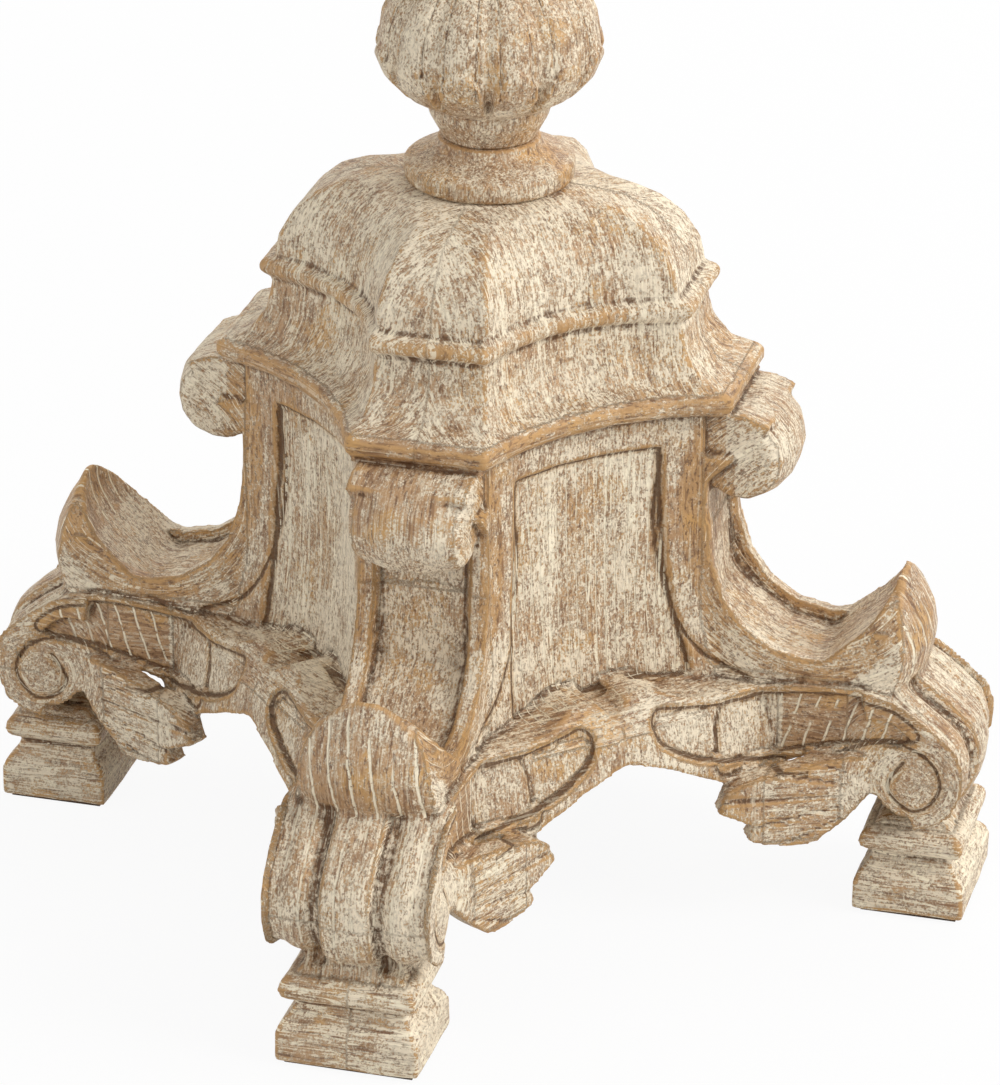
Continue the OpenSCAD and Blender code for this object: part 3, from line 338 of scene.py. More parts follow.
def curve(path, closed=False, steps=5):
    """A smooth curve through the points of a path."""
    path = np.array(path, dtype=float)
    count = len(path)
    out = []
    for k in range(count if closed else count - 1):
        near = np.arange(k - 1, k + 3)
        before, start, end, after = path[near % count if closed else np.clip(near, 0, count - 1)]
        bend = 2 * before - 5 * start + 4 * end - after
        twist = 3 * start - before - 3 * end + after
        for s in np.linspace(0, 1, steps, endpoint=False):
            out.append(0.5 * (2 * start + (end - before) * s + bend * s ** 2 + twist * s ** 3))
    out.append(path[0] if closed else path[-1])
    return out


def keep(obj, name, values, kind="FLOAT"):
    """Stores a value for each point of the mesh, for the material to read."""
    layer = obj.data.attributes.get(name) or obj.data.attributes.new(name, kind, "POINT")
    field = "vector" if kind == "FLOAT_VECTOR" else "value"
    layer.data.foreach_set(field, np.ascontiguousarray(values, dtype=np.float32).ravel())


def note_wear(obj):
    """Notes how far each point stands out of, or lies in, the surface round it."""
    co, no, e = points(obj), normals(obj), edges(obj)
    fine = ((blurred(co, e, 3) - co) * no).sum(1) / MM
    broad = ((blurred(co, e, 45) - co) * no).sum(1) / MM
    keep(obj, "rise", np.clip(-fine / 0.2, 0, 1))
    keep(obj, "sink", np.clip(fine / 0.15, 0, 1))
    keep(obj, "hollow", np.clip(broad / 1.3, 0, 1))


def uneven(obj, size, depth):
    """The slight unevenness of hand carving, with its size and depth in millimetres."""
    texture = bpy.data.textures.new("carving", "CLOUDS")
    texture.noise_scale = size * MM
    texture.noise_depth = 2
    apply_modifier(obj, "DISPLACE", texture=texture, texture_coords="GLOBAL",
                   strength=depth * MM, mid_level=0.5)


def smooth_shading(obj, angle=50):
    activate(obj)
    bpy.ops.object.shade_smooth_by_angle(angle=math.radians(angle))


def remeshed(obj, step, rounds=4):
    """Gives the piece fine, even faces and softens its edges without shrinking it."""
    apply_modifier(obj, "REMESH", mode="VOXEL", voxel_size=step)
    set_points(obj, blurred(points(obj), edges(obj), rounds, SOFTEN))
    return obj


# ---------------------------------------------------------------- materials
def tinted(colour, level):
    return tuple(min(1.0, part * level) for part in colour)


class Paint:
    """A material under construction."""

    def __init__(self, name):
        self.material = bpy.data.materials.new(name)
        self.material.use_nodes = True
        self.tree = self.material.node_tree
        self.tree.nodes.clear()
        self.out = self.node("OutputMaterial")
        self.shader = self.node("BsdfPrincipled")
        self.tree.links.new(self.shader.outputs[0], self.out.inputs["Surface"])
        self.place = self.node("TexCoord").outputs["Object"]

    def node(self, kind):
        return self.tree.nodes.new("ShaderNode" + kind)

    def feed(self, socket, value):
        """Links a node's output to a socket, or sets the socket to a value."""
        if isinstance(value, bpy.types.NodeSocket):
            self.tree.links.new(value, socket)
        elif socket.type == "RGBA" and len(value) == 3:
            socket.default_value = (*value, 1)
        else:
            socket.default_value = value

    def set(self, **sockets):
        """Feeds the shader's own sockets."""
        for key, value in sockets.items():
            self.feed(self.shader.inputs[key.replace("_", " ")], value)

    def attribute(self, name, vector=False):
        node = self.node("Attribute")
        node.attribute_name = name
        return node.outputs["Vector" if vector else "Fac"]

    def noise(self, vector, scale, detail=3.0, roughness=0.55, distortion=0.0):
        node = self.node("TexNoise")
        self.feed(node.inputs["Vector"], vector)
        node.inputs["Scale"].default_value = scale
        node.inputs["Detail"].default_value = detail
        node.inputs["Roughness"].default_value = roughness
        node.inputs["Distortion"].default_value = distortion
        return node.outputs["Fac"]

    def math(self, operation, a, b=0.0):
        node = self.node("Math")
        node.operation = operation
        self.feed(node.inputs[0], a)
        self.feed(node.inputs[1], b)
        return node.outputs[0]

    def chain(self, operation, values):
        """One operation over all the values, from left to right."""
        out = values[0]
        for value in values[1:]:
            out = self.math(operation, out, value)
        return out

    def plus(self, *values):
        return self.chain("ADD", values)

    def times(self, *values):
        return self.chain("MULTIPLY", values)

    def most(self, *values):
        return self.chain("MAXIMUM", values)

    def shares(self, *pairs):
        """The sum of some values, each times its share."""
        return self.plus(*[self.times(value, share) for value, share in pairs])

    def off_middle(self, value):
        """How far a noise lies above its middle."""
        return self.math("SUBTRACT", value, 0.5)

    def band(self, value, low, high):
        """A smooth step over how far a noise lies from its middle, which draws lines along its middle."""
        return self.step(self.math("ABSOLUTE", self.off_middle(value)), low, high)

    def scaled(self, vector, x, y, z):
        node = self.node("Mapping")
        self.feed(node.inputs["Vector"], vector)
        node.inputs["Scale"].default_value = (x, y, z)
        return node.outputs[0]

    def step(self, value, low, high, to_low=0.0, to_high=1.0):
        """A smooth step between two values."""
        node = self.node("MapRange")
        node.interpolation_type = "SMOOTHSTEP"
        self.feed(node.inputs["Value"], value)
        self.feed(node.inputs["From Min"], low)
        self.feed(node.inputs["From Max"], high)
        self.feed(node.inputs["To Min"], to_low)
        self.feed(node.inputs["To Max"], to_high)
        return node.outputs[0]

    def mix(self, factor, a, b):
        """A mix of two colours, which are the node's inputs 6 and 7, with the result at output 2."""
        node = self.node("Mix")
        node.data_type = "RGBA"
        self.feed(node.inputs["Factor"], factor)
        self.feed(node.inputs[6], a)
        self.feed(node.inputs[7], b)
        return node.outputs[2]

    def bump(self, height, distance, strength):
        node = self.node("Bump")
        node.inputs["Strength"].default_value = strength
        node.inputs["Distance"].default_value = distance
        self.feed(node.inputs["Height"], height)
        return node.outputs[0]


def limed_finish(look):
    """Tan and gilded coats, brushed with off-white along the grain, dark glaze in the creases."""
    p = Paint("limed_and_gilded")
    flow = p.attribute("grain", vector=True)
    amount, rise, sink = p.attribute("lime"), p.attribute("rise"), p.attribute("sink")
    hollow, gilt_and_highlight, near = p.attribute("hollow"), p.attribute("gilt_and_highlight"), p.attribute("near")
    broad = p.noise(p.place, 22, 3)
    blotch = p.noise(p.place, 85, 4, 0.62)
    speck = p.noise(p.place, 1150, 3, 0.6)
    grit = p.noise(p.place, 380, 4, 0.7)
    streak = p.noise(p.scaled(flow, 1, 0.6, 1), 620, 3, 0.6, 0.2)
    thread = p.noise(flow, 1550, 2, 0.6)
    fleck = p.noise(p.scaled(flow, 1, 1.6, 1), 950, 3, 0.65)

    # how readily the brush left its lime at a point
    brushed = p.shares((streak, 0.20), (thread, 0.28), (speck, 0.36), (grit, 0.16))
    bias = p.shares((p.off_middle(amount), 0.22), (p.off_middle(blotch), 0.18), (p.off_middle(broad), 0.26),
                    (gilt_and_highlight, -0.06), (p.step(rise, 0.3, 1.0), -0.05))
    body = p.plus(brushed, bias)
    lime = p.step(body, 0.500, 0.516)
    thin = p.step(body, 0.42, 0.50)

    # long fine strokes of lime
    stroke = p.band(p.noise(p.scaled(flow, 1, 0.1, 1), 230, 2, 0.5, 0.15), 0.020, 0.010)
    stroke = p.times(stroke, p.step(grit, 0.42, 0.47), p.step(amount, 0.5, 0.6, 0.35, 1.0))

    # strokes cut through to white on the arms, the leaf tips, the lobes and the panels
    place = p.plus(p.attribute("hatch_at"), p.times(p.off_middle(blotch), 0.35))
    hatch = p.times(p.band(p.math("FRACT", place), 0.085, 0.045), p.attribute("hatch_on"),
                    p.step(grit, 0.36, 0.42), p.step(p.noise(flow, 150, 1), 0.40, 0.46))

    # the coats under the lime
    warm = p.step(p.noise(p.place, 40, 4, 0.6), 0.50, 0.62)
    stain = p.step(p.noise(p.place, 75, 5, 0.65), 0.49, 0.66)
    # gold where the gilt map is high: rubbed gilding, and on the dome's cove a painted highlight on the key
    # light's side
    tone = p.mix(p.most(warm, p.times(gilt_and_highlight, 0.55)), look.tan, look.gold)
    tone = p.mix(p.times(stain, 0.5), tone, BROWN)
    tone = p.mix(p.times(p.step(streak, 0.47, 0.37), 0.65), tone, UMBER)
    tone = p.mix(p.times(p.step(fleck, 0.46, 0.38), 0.8), tone, DEEP_BROWN)
    tone = p.mix(p.times(thin, 0.30), tone, look.lime)
    tone = p.mix(p.times(p.step(rise, 0.25, 0.9), 0.6), tone, look.gold)
    coat = p.step(p.shares((thread, 0.5), (grit, 0.5)), 0.42, 0.56)
    coat = p.mix(coat, tinted(look.lime, 0.74), look.lime)
    colour = p.mix(p.times(lime, 0.92), tone, coat)
    colour = p.mix(p.times(p.step(fleck, 0.40, 0.33), 0.6), colour, FLECK_BROWN)

    # incised lines keep the dark glaze, with a rubbed rim beside them
    wobble = p.plus(near, p.times(p.off_middle(grit), 0.22))
    colour = p.mix(p.times(p.step(wobble, 0.62, 0.82), 0.35), colour, look.gold)
    cut_line = p.times(p.step(wobble, 0.86, 0.94), 0.85)
    deep = p.most(p.times(p.step(sink, 0.45, 1.0), 0.9), p.times(p.step(hollow, 0.4, 1.0), 0.34))
    deep = p.times(deep, p.step(p.shares((grit, 0.5), (streak, 0.5)), 0.44, 0.58, 1.0, 0.25))
    colour = p.mix(p.most(deep, cut_line), colour, look.dark)
    colour = p.mix(p.times(p.most(stroke, hatch), 0.9), colour, tinted(look.lime, 1.12))

    height = p.shares((lime, 0.8), (streak, 0.8), (p.plus(speck, grit), 0.5), (hatch, -0.8), (cut_line, -1.0))
    p.set(Base_Color=colour, Roughness=p.step(lime, 0, 1, 0.48, 0.75), Specular_IOR_Level=0.3,
          Metallic=p.times(p.math("SUBTRACT", 1.0, lime), 0.12), Normal=p.bump(height, 0.0008, 0.75))
    return p.material


def metal(name, colour, dull, rough):
    """Metal with fine drawn lines and slightly cloudy tarnish."""
    p = Paint(name)
    line = p.noise(p.scaled(p.place, 900, 900, 60), 1.0, 3)
    cloud = p.noise(p.place, 120, 4)
    p.set(Base_Color=p.mix(p.step(cloud, 0.35, 0.75), colour, dull), Metallic=1.0,
          Roughness=p.step(p.shares((line, 0.4), (cloud, 0.6)), 0.3, 0.7, rough - 0.06, rough + 0.12),
          Normal=p.bump(line, 0.00005, 0.4))
    return p.material


def plain(name, colour, other, rough, scale=300, depth=0.0001, detail=4, sheen=0.0):
    """A moulded, pressed or painted surface with its own fine texture."""
    p = Paint(name)
    fine = p.noise(p.place, scale, detail)
    broad = p.noise(p.place, scale / 12, 3)
    tone = p.step(p.shares((fine, 0.5), (broad, 0.5)), 0.35, 0.65)
    p.set(Base_Color=p.mix(tone, colour, other), Roughness=p.step(fine, 0.3, 0.7, rough - 0.06, rough + 0.06),
          Normal=p.bump(fine, depth, 0.5), Sheen_Weight=sheen)
    return p.material


def linen_finish(look):
    """Plain linen weave on the piece's own unrolled map, in metres."""
    p = Paint("linen_weave")
    uv = p.node("UVMap")
    uv.uv_map = "unrolled"
    parts = p.node("SeparateXYZ")
    p.feed(parts.inputs[0], uv.outputs[0])
    slub_along = p.noise(p.scaled(uv.outputs[0], 40, 900, 1), 1.0, 3)
    slub_up = p.noise(p.scaled(uv.outputs[0], 900, 40, 1), 1.0, 3)
    threads = []
    for axis, slub in ((0, slub_up), (1, slub_along)):
        turn = p.times(parts.outputs[axis], 2 * math.pi / look.thread)
        turn = p.plus(turn, p.times(slub, 2.2))
        wave = p.plus(p.times(p.math("SINE", turn), 0.5), 0.5)
        threads.append((wave, slub))
    weave = p.shares(*threads)
    shade = p.mix(p.step(weave, 0.2, 0.8), tinted(look.linen, 0.78), look.linen)
    shade = p.mix(p.times(p.step(slub_along, 0.55, 0.75), 0.35), shade, tinted(look.linen, 1.12))
    p.set(Base_Color=shade, Roughness=0.9, Sheen_Weight=0.25, Normal=p.bump(weave, 0.0003, 0.6))
    return p.material


def glass_finish():
    """Frosted glass of the bulb."""
    p = Paint("frosted_glass")
    haze = p.noise(p.place, 900, 3)
    p.set(Base_Color=(0.93, 0.93, 0.91), Roughness=p.step(haze, 0.3, 0.7, 0.3, 0.42),
          Transmission_Weight=0.55, IOR=1.5, Normal=p.bump(haze, 0.00004, 0.3))
    return p.material


MADE = {}


def finish_of(name):
    """The material of that name, made on first use."""
    scene = bpy.context.scene
    if name not in MADE:
        if name in METALS:
            MADE[name] = metal(*METALS[name])
        elif name in SURFACES:
            MADE[name] = plain(*SURFACES[name])
        elif name == "limed":
            MADE[name] = limed_finish(scene.lamp_finish)
        elif name == "linen":
            MADE[name] = linen_finish(scene.lamp_shade)
        else:
            MADE[name] = glass_finish()
    return MADE[name]


def dress(obj, material):
    """Gives the piece this one material."""
    obj.data.materials.clear()
    obj.data.materials.append(material)


# ---------------------------------------------------------------- carved surfaces
def leg_frame(co):
    """Quarter, distance out along its leg, distance across it, and height, in millimetres."""
    x, y, z = co.T / MM
    quarter = np.floor(np.arctan2(y, x) / (math.pi / 2)).astype(int) % 4
    a = math.pi / 4 + quarter * math.pi / 2
    return quarter, x * np.cos(a) + y * np.sin(a), y * np.cos(a) - x * np.sin(a), z


def across_leg(no, quarter):
    """The share of a direction that points across its leg."""
    a = math.pi / 4 + quarter * math.pi / 2
    return no[:, 1] * np.cos(a) - no[:, 0] * np.sin(a)


def on_leg(r, t, z):
    """True where a point is part of a leg, over its foot block and under the cornice."""
    fin = (np.abs(t) < FIN_HALF) & (r > FIN_START)
    return (z < BODY_TOP) & (z > FOOT_TOP) & (fin | (r > ARM_START))


def body_frame(co):
    """X, Y, whether the body's nearer side is one along X, and the distance towards that side."""
    x, y, _ = co.T / MM
    on_x = np.abs(x) > np.abs(y)
    return x, y, on_x, np.where(on_x, np.abs(x), np.abs(y))


def grain_of_pedestal(obj):
    """The direction in which the brush ran, as stretched coordinates for the streaks."""
    co, no = points(obj), normals(obj)
    quarter, r, t, z = leg_frame(co)
    x, y, on_x, side = body_frame(co)
    level = np.where(on_x, y, x)
    # panels and dome: streaks run down
    u = level
    along = np.where(z > CORNICE + 1, (z - side) * 0.72, z - 0.6 * side)
    # bands of the cornice: streaks run along
    band = (z > CORNICE - 1) & (z < CORNICE + CORNICE_BAND)
    u, along = np.where(band, z, u), np.where(band, level, along)
    # legs: streaks follow the hollow, the arm and the volute, measured along arcs of these mean radii
    hollow_r, volute_r = 46, 24
    leg = on_leg(r, t, z)
    rho_hollow = np.hypot(r - HOLLOW[0], z - HOLLOW[1])
    arc_hollow = np.arctan2(z - HOLLOW[1], r - HOLLOW[0]) * hollow_r
    rho_volute = np.hypot(r - VOLUTE[0], z - VOLUTE[1])
    arc_volute = np.arctan2(VOLUTE[1] - z, VOLUTE[0] - r) * volute_r
    upper = z > 100
    end = ~upper & (r > 152)
    arc = np.where(upper, arc_hollow, np.where(end, arc_volute, r))
    rho = np.where(upper, rho_hollow, np.where(end, rho_volute, z))
    flat_side = np.abs(across_leg(no, quarter)) > SIDE_SHARE
    u = np.where(leg, np.where(flat_side, rho, t), u)
    along = np.where(leg, arc, along)
    # foot blocks: streaks run along
    foot = z <= FOOT_TOP
    u, along = np.where(foot, z, u), np.where(foot, x + y, along)
    # ledges of the skirts: streaks run along
    ledge = (no[:, 2] > 0.4) & (z > 50) & (z < 107) & ~leg
    u, along = np.where(ledge, z - 0.6 * side, u), np.where(ledge, level, along)
    # each leg and each side of the body has streaks of its own
    side_shift = np.where(on_x, np.where(x > 0, 0, 40), np.where(y > 0, 80, 120))
    shift = np.where(leg, 300 + 90 * quarter, side_shift)
    grain = np.stack([u, 0.24 * along, 0.1 * side + shift], 1) * MM
    keep(obj, "grain", grain, "FLOAT_VECTOR")


def zones(obj):
    """Where each point lies: in its leg's frame, in its panel's frame, and on a leg or a leg's side."""
    co, no = points(obj), normals(obj)
    quarter, r, t, z = leg_frame(co)
    x, y, on_x, side = body_frame(co)
    u = np.where(on_x, np.where(x > 0, y, -y), np.where(y > 0, -x, x))
    flat_side = np.abs(across_leg(no, quarter)) > SIDE_SHARE
    return r, t, z, u, side, on_leg(r, t, z), flat_side


def incised(obj):
    """Distance in millimetres to the nearest incised line."""
    r, t, z, u, side, leg, flat_side = zones(obj)
    far = np.full(len(z), 9.0)
    on_side = flat_side & (z > 40) & (z < BODY_TOP) & (np.abs(t) > 15) & (r > 70)
    panel = (side < np.where(z < 104, 84, 95)) & ~(leg & (r > 118)) & (z < BODY_TOP)
    skirt = (side > 90) & (z < 104) & (z > 50) & (np.abs(u) < 70) & ~(leg & (r > 140))
    for where, path, across in ((on_side, curve(ARM_FIELD, True), r),
                                (on_side, curve(VOLUTE_LINE), r),
                                (on_side, curve(SIDE_LINE), r),
                                (panel, PANEL_FIELD + PANEL_FIELD[:1], u),
                                (skirt, curve(WING_FIELD, True), np.abs(u))):
        far = np.where(where, np.minimum(far, to_line(path, across, z)), far)
    return far


def lime_of_pedestal(obj):
    """How much lime and gold each part of the pedestal holds, and where strokes are cut into it."""
    r, t, z, u, side, leg, flat_side = zones(obj)
    x = points(obj)[:, 0] / MM
    field = inside(PANEL_FIELD, u, z) & (side < BODY_SIDE)
    dome = z > CORNICE + CORNICE_BAND
    band = (z > CORNICE - 1) & (z < CORNICE + CORNICE_BAND)
    arm = flat_side & leg & inside(ARM_FIELD, r, z)
    leaf_tip = (r > 158) & (z > 97) & (z < 146) & ~flat_side
    lobe = (r > 172) & (z > 38) & (z <= 97) & ~flat_side
    foot = z <= FOOT_TOP

    # where two of these overlap, the later one holds
    amount = np.full(len(z), 0.5)
    for where, lime in ((field, 0.62), (dome, 0.56), (band, 0.44),
                        (leg & flat_side, 0.56), (leg & ~flat_side, 0.48),
                        (arm & (r < 126), 0.72), (arm & (r >= 126), 0.22),
                        (leaf_tip, 0.26), (foot, 0.58)):
        amount[where] = lime
    keep(obj, "lime", amount)
    keep(obj, "near", np.clip(1 - incised(obj) / 6, 0, 1))

    # smooth rubbed gold: the hollow's rims, the body's corners, the panels' middles, the cove and the
    # cornice; the cove's gold fades out towards -X, so there it is a painted highlight on the key light's
    # side
    rim = ramp(-to_line(HOLLOW_EDGE, r, z), -10.5, -8.5) * (flat_side & (z > 96) & (z < 190) & (r > 84))
    corner = ramp(-np.abs(np.abs(t) - CORNER_RIB), -2.6, -1.6) * ((z > 100) & (z < BODY_TOP) & (r < 100))
    middle = ramp(-np.abs(u), -16, -2) * ramp(z, 110, 140) * ramp(-z, -196, -180) * (side < BODY_SIDE)
    # painted highlight: gold on the cove only towards +X, where the key light falls
    cove_highlight = ((z > CORNICE + 8) & (z < CORNICE + 30) & (side > 60)) * ramp(x, -20, 60)
    lip = (z > CORNICE - 1) & (z < CORNICE + 8)
    keep(obj, "gilt_and_highlight", np.maximum.reduce([rim, corner, 0.6 * middle, 0.8 * cove_highlight, 0.5 * lip]))

    # strokes: across the arm's field, down the leaf tip, down the lobes and down the panel
    at, on = np.zeros(len(z)), np.zeros(len(z))
    for where, drawn, number, strength in (
            (arm, arm & (r > 112) & (r < 174), (r - 0.3 * (z - 80)) / 7.4, 1.0),
            (leaf_tip, leaf_tip, (t + 0.12 * (z - 120)) / 8.2, 1.0),
            (lobe, lobe, t / 7.2, 0.75),
            (field, field, (u + 0.002 * u * np.abs(PANEL_TOP - z)) / 4.6, 0.8)):
        at[where] = number[where]
        on[drawn] = strength
    keep(obj, "hatch_at", at)
    keep(obj, "hatch_on", on)


def carve_leg(obj):
    """Cuts the fine carving of one leg, the one at 45 degrees; depths are in millimetres."""
    co, no = points(obj), normals(obj)
    _, r, t, z = leg_frame(co)
    side = np.abs(t)
    # the hollow between the rims runs on up the body's corner to the small scroll
    trough = 3.2 * ramp(-side, -19.5, -16) * ramp(z, 112, 128) * ramp(-z, -186, -172) * (r > 86) * (r < 106)
    # veins of the leaf under the arm, fanning out from its root
    away = (LEAF_ROOT[0] - r) * LEAF_AWAY[0] + (side - LEAF_ROOT[1]) * LEAF_AWAY[1]
    leaf = (z < 70) & (z > 34) & (away > 4) & (side > 22) & (r < 158)
    fan = np.arctan2(z - LEAF_ROOT[2], away + 12) * 9.5
    face = np.abs(no[:, 1] - no[:, 0]) * 0.7071
    vein = 0.8 * ramp(np.cos(fan * math.pi), 0.75, 1.0) * ramp(away, 6, 14) * ramp(face, 0.5, 0.8) * leaf
    # the three lobes get a fine hollow line each side of their crowns
    lobe = (r > 168) & (z > 36) & (z < 100) & (np.hypot(r - VOLUTE[0], z - VOLUTE[1]) > 17)
    crease = 0.5 * ramp(-np.abs(side - 11.5), -1.6, 0) * lobe
    # grooves between the three lobes, and their rounded shoulders
    front = ramp(r, 160, 168) * ramp(z, 38, 44) * ramp(-z, -101, -95)
    front = front * ramp(-np.abs(across_leg(no, 0)), -0.95, -0.5)
    groove = 2.5 * np.exp(-((side - 13.4) / 2.6) ** 2)
    shoulder = 2.4 * ramp(side, 21, 27.5) + 1.0 * ramp(side, 4, 12)
    line = 0.7 * ramp(-incised(obj), -2.0, -0.2)
    depth = trough + vein + crease + front * (groove + shoulder) + line
    set_points(obj, co - no * depth[:, None] * MM)


def take_block(obj, r, t, z, size, rotation):
    """Takes a block away from the leg at 45 degrees; the block's middle is given in the leg's frame."""
    a = math.pi / 4
    x, y = r * math.cos(a) - t * math.sin(a), r * math.sin(a) + t * math.cos(a)
    bpy.ops.object.select_all(action="DESELECT")
    bpy.ops.mesh.primitive_cube_add(size=1, location=(x * MM, y * MM, z * MM), rotation=rotation)
    block = bpy.context.object
    block.scale = [v * MM for v in size]
    settle(block)
    apply_modifier(obj, "BOOLEAN", operation="DIFFERENCE", object=block, solver="EXACT")
    bpy.data.objects.remove(block)


def free_scroll_end(obj, turn):
    """Takes the rim's upper corner away, so that the small scroll stands free at that end."""
    take_block(obj, 111.0, turn * 28.3, 197.5, (38, 10, 18.4), (0, 0, math.pi / 4))


def notch_leaf(obj, turn):
    """Cuts the leaf under the arm into a pointed tip and a lower lobe."""
    lean, away = math.radians(NOTCH_LEAN), math.radians(180 - turn * NOTCH_TURN)
    out, up = 58.5, 40.4
    take_block(obj, 158 + out * math.cos(away), turn * 28 + out * math.sin(away), up, (25, 15, 20),
               (0, -lean, math.pi / 4 + away))


def soften_lobes(obj):
    """Rounds the lobes of the volute, from the foot block up to the arm's top."""
    co, e = points(obj), edges(obj)
    _, r, _, z = leg_frame(co)
    mask = 0.85 * ramp(r, 156, 164) * ramp(z, 37.5, 40) * ramp(-z, -106, -100)
    set_points(obj, co + (blurred(co, e, 12) - co) * mask[:, None])


def finish_pedestal_piece(obj):
    """Gives a carved piece of the pedestal its unevenness, the finish's maps and the finish."""
    uneven(obj, 16, 0.9)
    grain_of_pedestal(obj)
    lime_of_pedestal(obj)
    smooth_shading(obj)
    dress(obj, finish_of("limed"))


def finish_turned_piece(obj, lime, size, depth):
    """Gives a turned piece its wear, its unevenness, the finish's maps and the finish."""
    note_wear(obj)
    uneven(obj, size, depth)
    co = points(obj)
    keep(obj, "grain", co * (1, 1, 0.24), "FLOAT_VECTOR")
    keep(obj, "lime", np.full(len(co), lime))
    smooth_shading(obj, 60)
    dress(obj, finish_of("limed"))


# ---------------------------------------------------------------- pieces
class LAMP_OT_pedestal(bpy.types.Operator):
    """Carve the pedestal's dome and its four scrolled legs"""
    bl_idname = "lamp.pedestal"
    bl_label = "Carved pedestal"

    def execute(self, context):
        step = context.scene.lamp_finish.mesh_step
        whole = copy_of("pedestal_casting", "pedestal_work")

        # each piece is remeshed with some more of its neighbour, which is then cut off
        dome_from, leg_to, margin = 196, 216, 6
        dome = twin(whole, "dome_and_cornice")
        cut(dome, (0, 0, dome_from), (0, 0, -1))
        remeshed(dome, step)
        note_wear(dome)
        cut(dome, (0, 0, BODY_TOP), (0, 0, -1))
        finish_pedestal_piece(dome)
        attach(dome, "lamp")

        # one quarter of the body with its leg is carved, and repeated
        leg = twin(whole, "carved_leg_1")
        cut(leg, (-margin, 0, 0), (-1, 0, 0))
        cut(leg, (0, -margin, 0), (0, -1, 0))
        cut(leg, (0, 0, leg_to), (0, 0, 1))
        for turn in (-1, 1):
            free_scroll_end(leg, turn)
            notch_leaf(leg, turn)
        remeshed(leg, step)
        soften_lobes(leg)
        carve_leg(leg)
        note_wear(leg)
        cut(leg, (0, 0, BODY_TOP), (0, 0, 1))
        cut(leg, (0, 0, 0), (-1, 0, 0))
        cut(leg, (0, 0, 0), (0, -1, 0))
        legs = [leg] + [twin(leg, "carved_leg_%d" % k) for k in (2, 3, 4)]
        for k, obj in enumerate(legs):
            obj.data.transform(Matrix.Rotation(k * math.pi / 2, 4, "Z"))
            finish_pedestal_piece(obj)
            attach(obj, "lamp")
        bpy.data.objects.remove(whole)
        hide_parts("pedestal_casting")
        return {"FINISHED"}


class LAMP_OT_ball(bpy.types.Operator):
    """Carve the lobed ball above the pedestal"""
    bl_idname = "lamp.ball"
    bl_label = "Carved ball"

    def execute(self, context):
        obj = remeshed(copy_of("fluted_ball", "carved_ball"), 0.0008, 5)
        co, no = points(obj), normals(obj)
        x, y, z = co.T / MM
        turn = np.arctan2(y, x) * BALL_LOBES / (2 * math.pi)
        # 0 between two lobes and 1 on a lobe's crown
        lobe = np.abs(turn - np.round(turn)) * 2
        depth = 0.6 * ramp(-np.abs(lobe - 0.42), -0.1, 0) * ((z > 330) & (z < 374))
        set_points(obj, co - no * depth[:, None] * MM)
        finish_turned_piece(obj, 0.5, 9, 0.5)
        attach(obj, "lamp")
        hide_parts("fluted_ball")
        return {"FINISHED"}


class LAMP_OT_column(bpy.types.Operator):
    """Finish the turned and carved pieces of the column"""
    bl_idname = "lamp.column"
    bl_label = "Carved column"

    def execute(self, context):
        for node, step, rounds, lime in TURNED:
            obj = remeshed(copy_of(node, "limed_" + node), step, rounds)
            finish_turned_piece(obj, lime, 12, 0.35)
            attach(obj, "finial" if node == "finial_knob" else "lamp")
            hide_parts(node)
        return {"FINISHED"}


class LAMP_OT_fittings(bpy.types.Operator):
    """Give the metal, plastic and glass fittings their finishes"""
    bl_idname = "lamp.fittings"
    bl_label = "Fittings"

    def execute(self, context):
        for finish, nodes in NODE_FINISHES.items():
            for node in nodes:
                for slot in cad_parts[node].material_slots:
                    slot.link = "OBJECT"
                    slot.material = finish_of(finish)
        wire = remeshed(copy_of("harp_wire", "harp_bow"), 0.0007)
        smooth_shading(wire, 70)
        dress(wire, finish_of("brass"))
        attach(wire, "harp")
        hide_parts("harp_wire")
        return {"FINISHED"}


def drum_side(name, r_low, r_high, z_low, z_high, thick):
    """A conical band of cloth, closed, with its own unrolled map in metres."""
    bpy.ops.object.select_all(action="DESELECT")
    bpy.ops.mesh.primitive_cone_add(vertices=192, radius1=r_low, radius2=r_high, depth=z_high - z_low,
                                    end_fill_type="NOTHING", location=(0, 0, (z_low + z_high) / 2))
    obj = bpy.context.object
    obj.name = obj.data.name = name
    settle(obj)
    bpy.ops.object.mode_set(mode="EDIT")
    bpy.ops.mesh.select_all(action="SELECT")
    bpy.ops.mesh.subdivide(number_cuts=1)
    bpy.ops.mesh.normals_make_consistent(inside=False)
    bpy.ops.object.mode_set(mode="OBJECT")
    maps = obj.data.uv_layers
    while len(maps) > 0:
        maps.remove(maps[0])
    unrolled = maps.new(name="unrolled")
    mean = (r_low + r_high) / 2
    for face in obj.data.polygons:
        corners = [obj.data.vertices[v].co for v in face.vertices]
        turns = [math.atan2(co.y, co.x) for co in corners]
        if max(turns) - min(turns) > math.pi:
            turns = [t + 2 * math.pi if t < 0 else t for t in turns]
        for loop, turn, co in zip(face.loop_indices, turns, corners):
            unrolled.data[loop].uv = (turn * mean, co.z)
    apply_modifier(obj, "SOLIDIFY", thickness=thick, offset=-1)
    smooth_shading(obj, 40)
    return obj


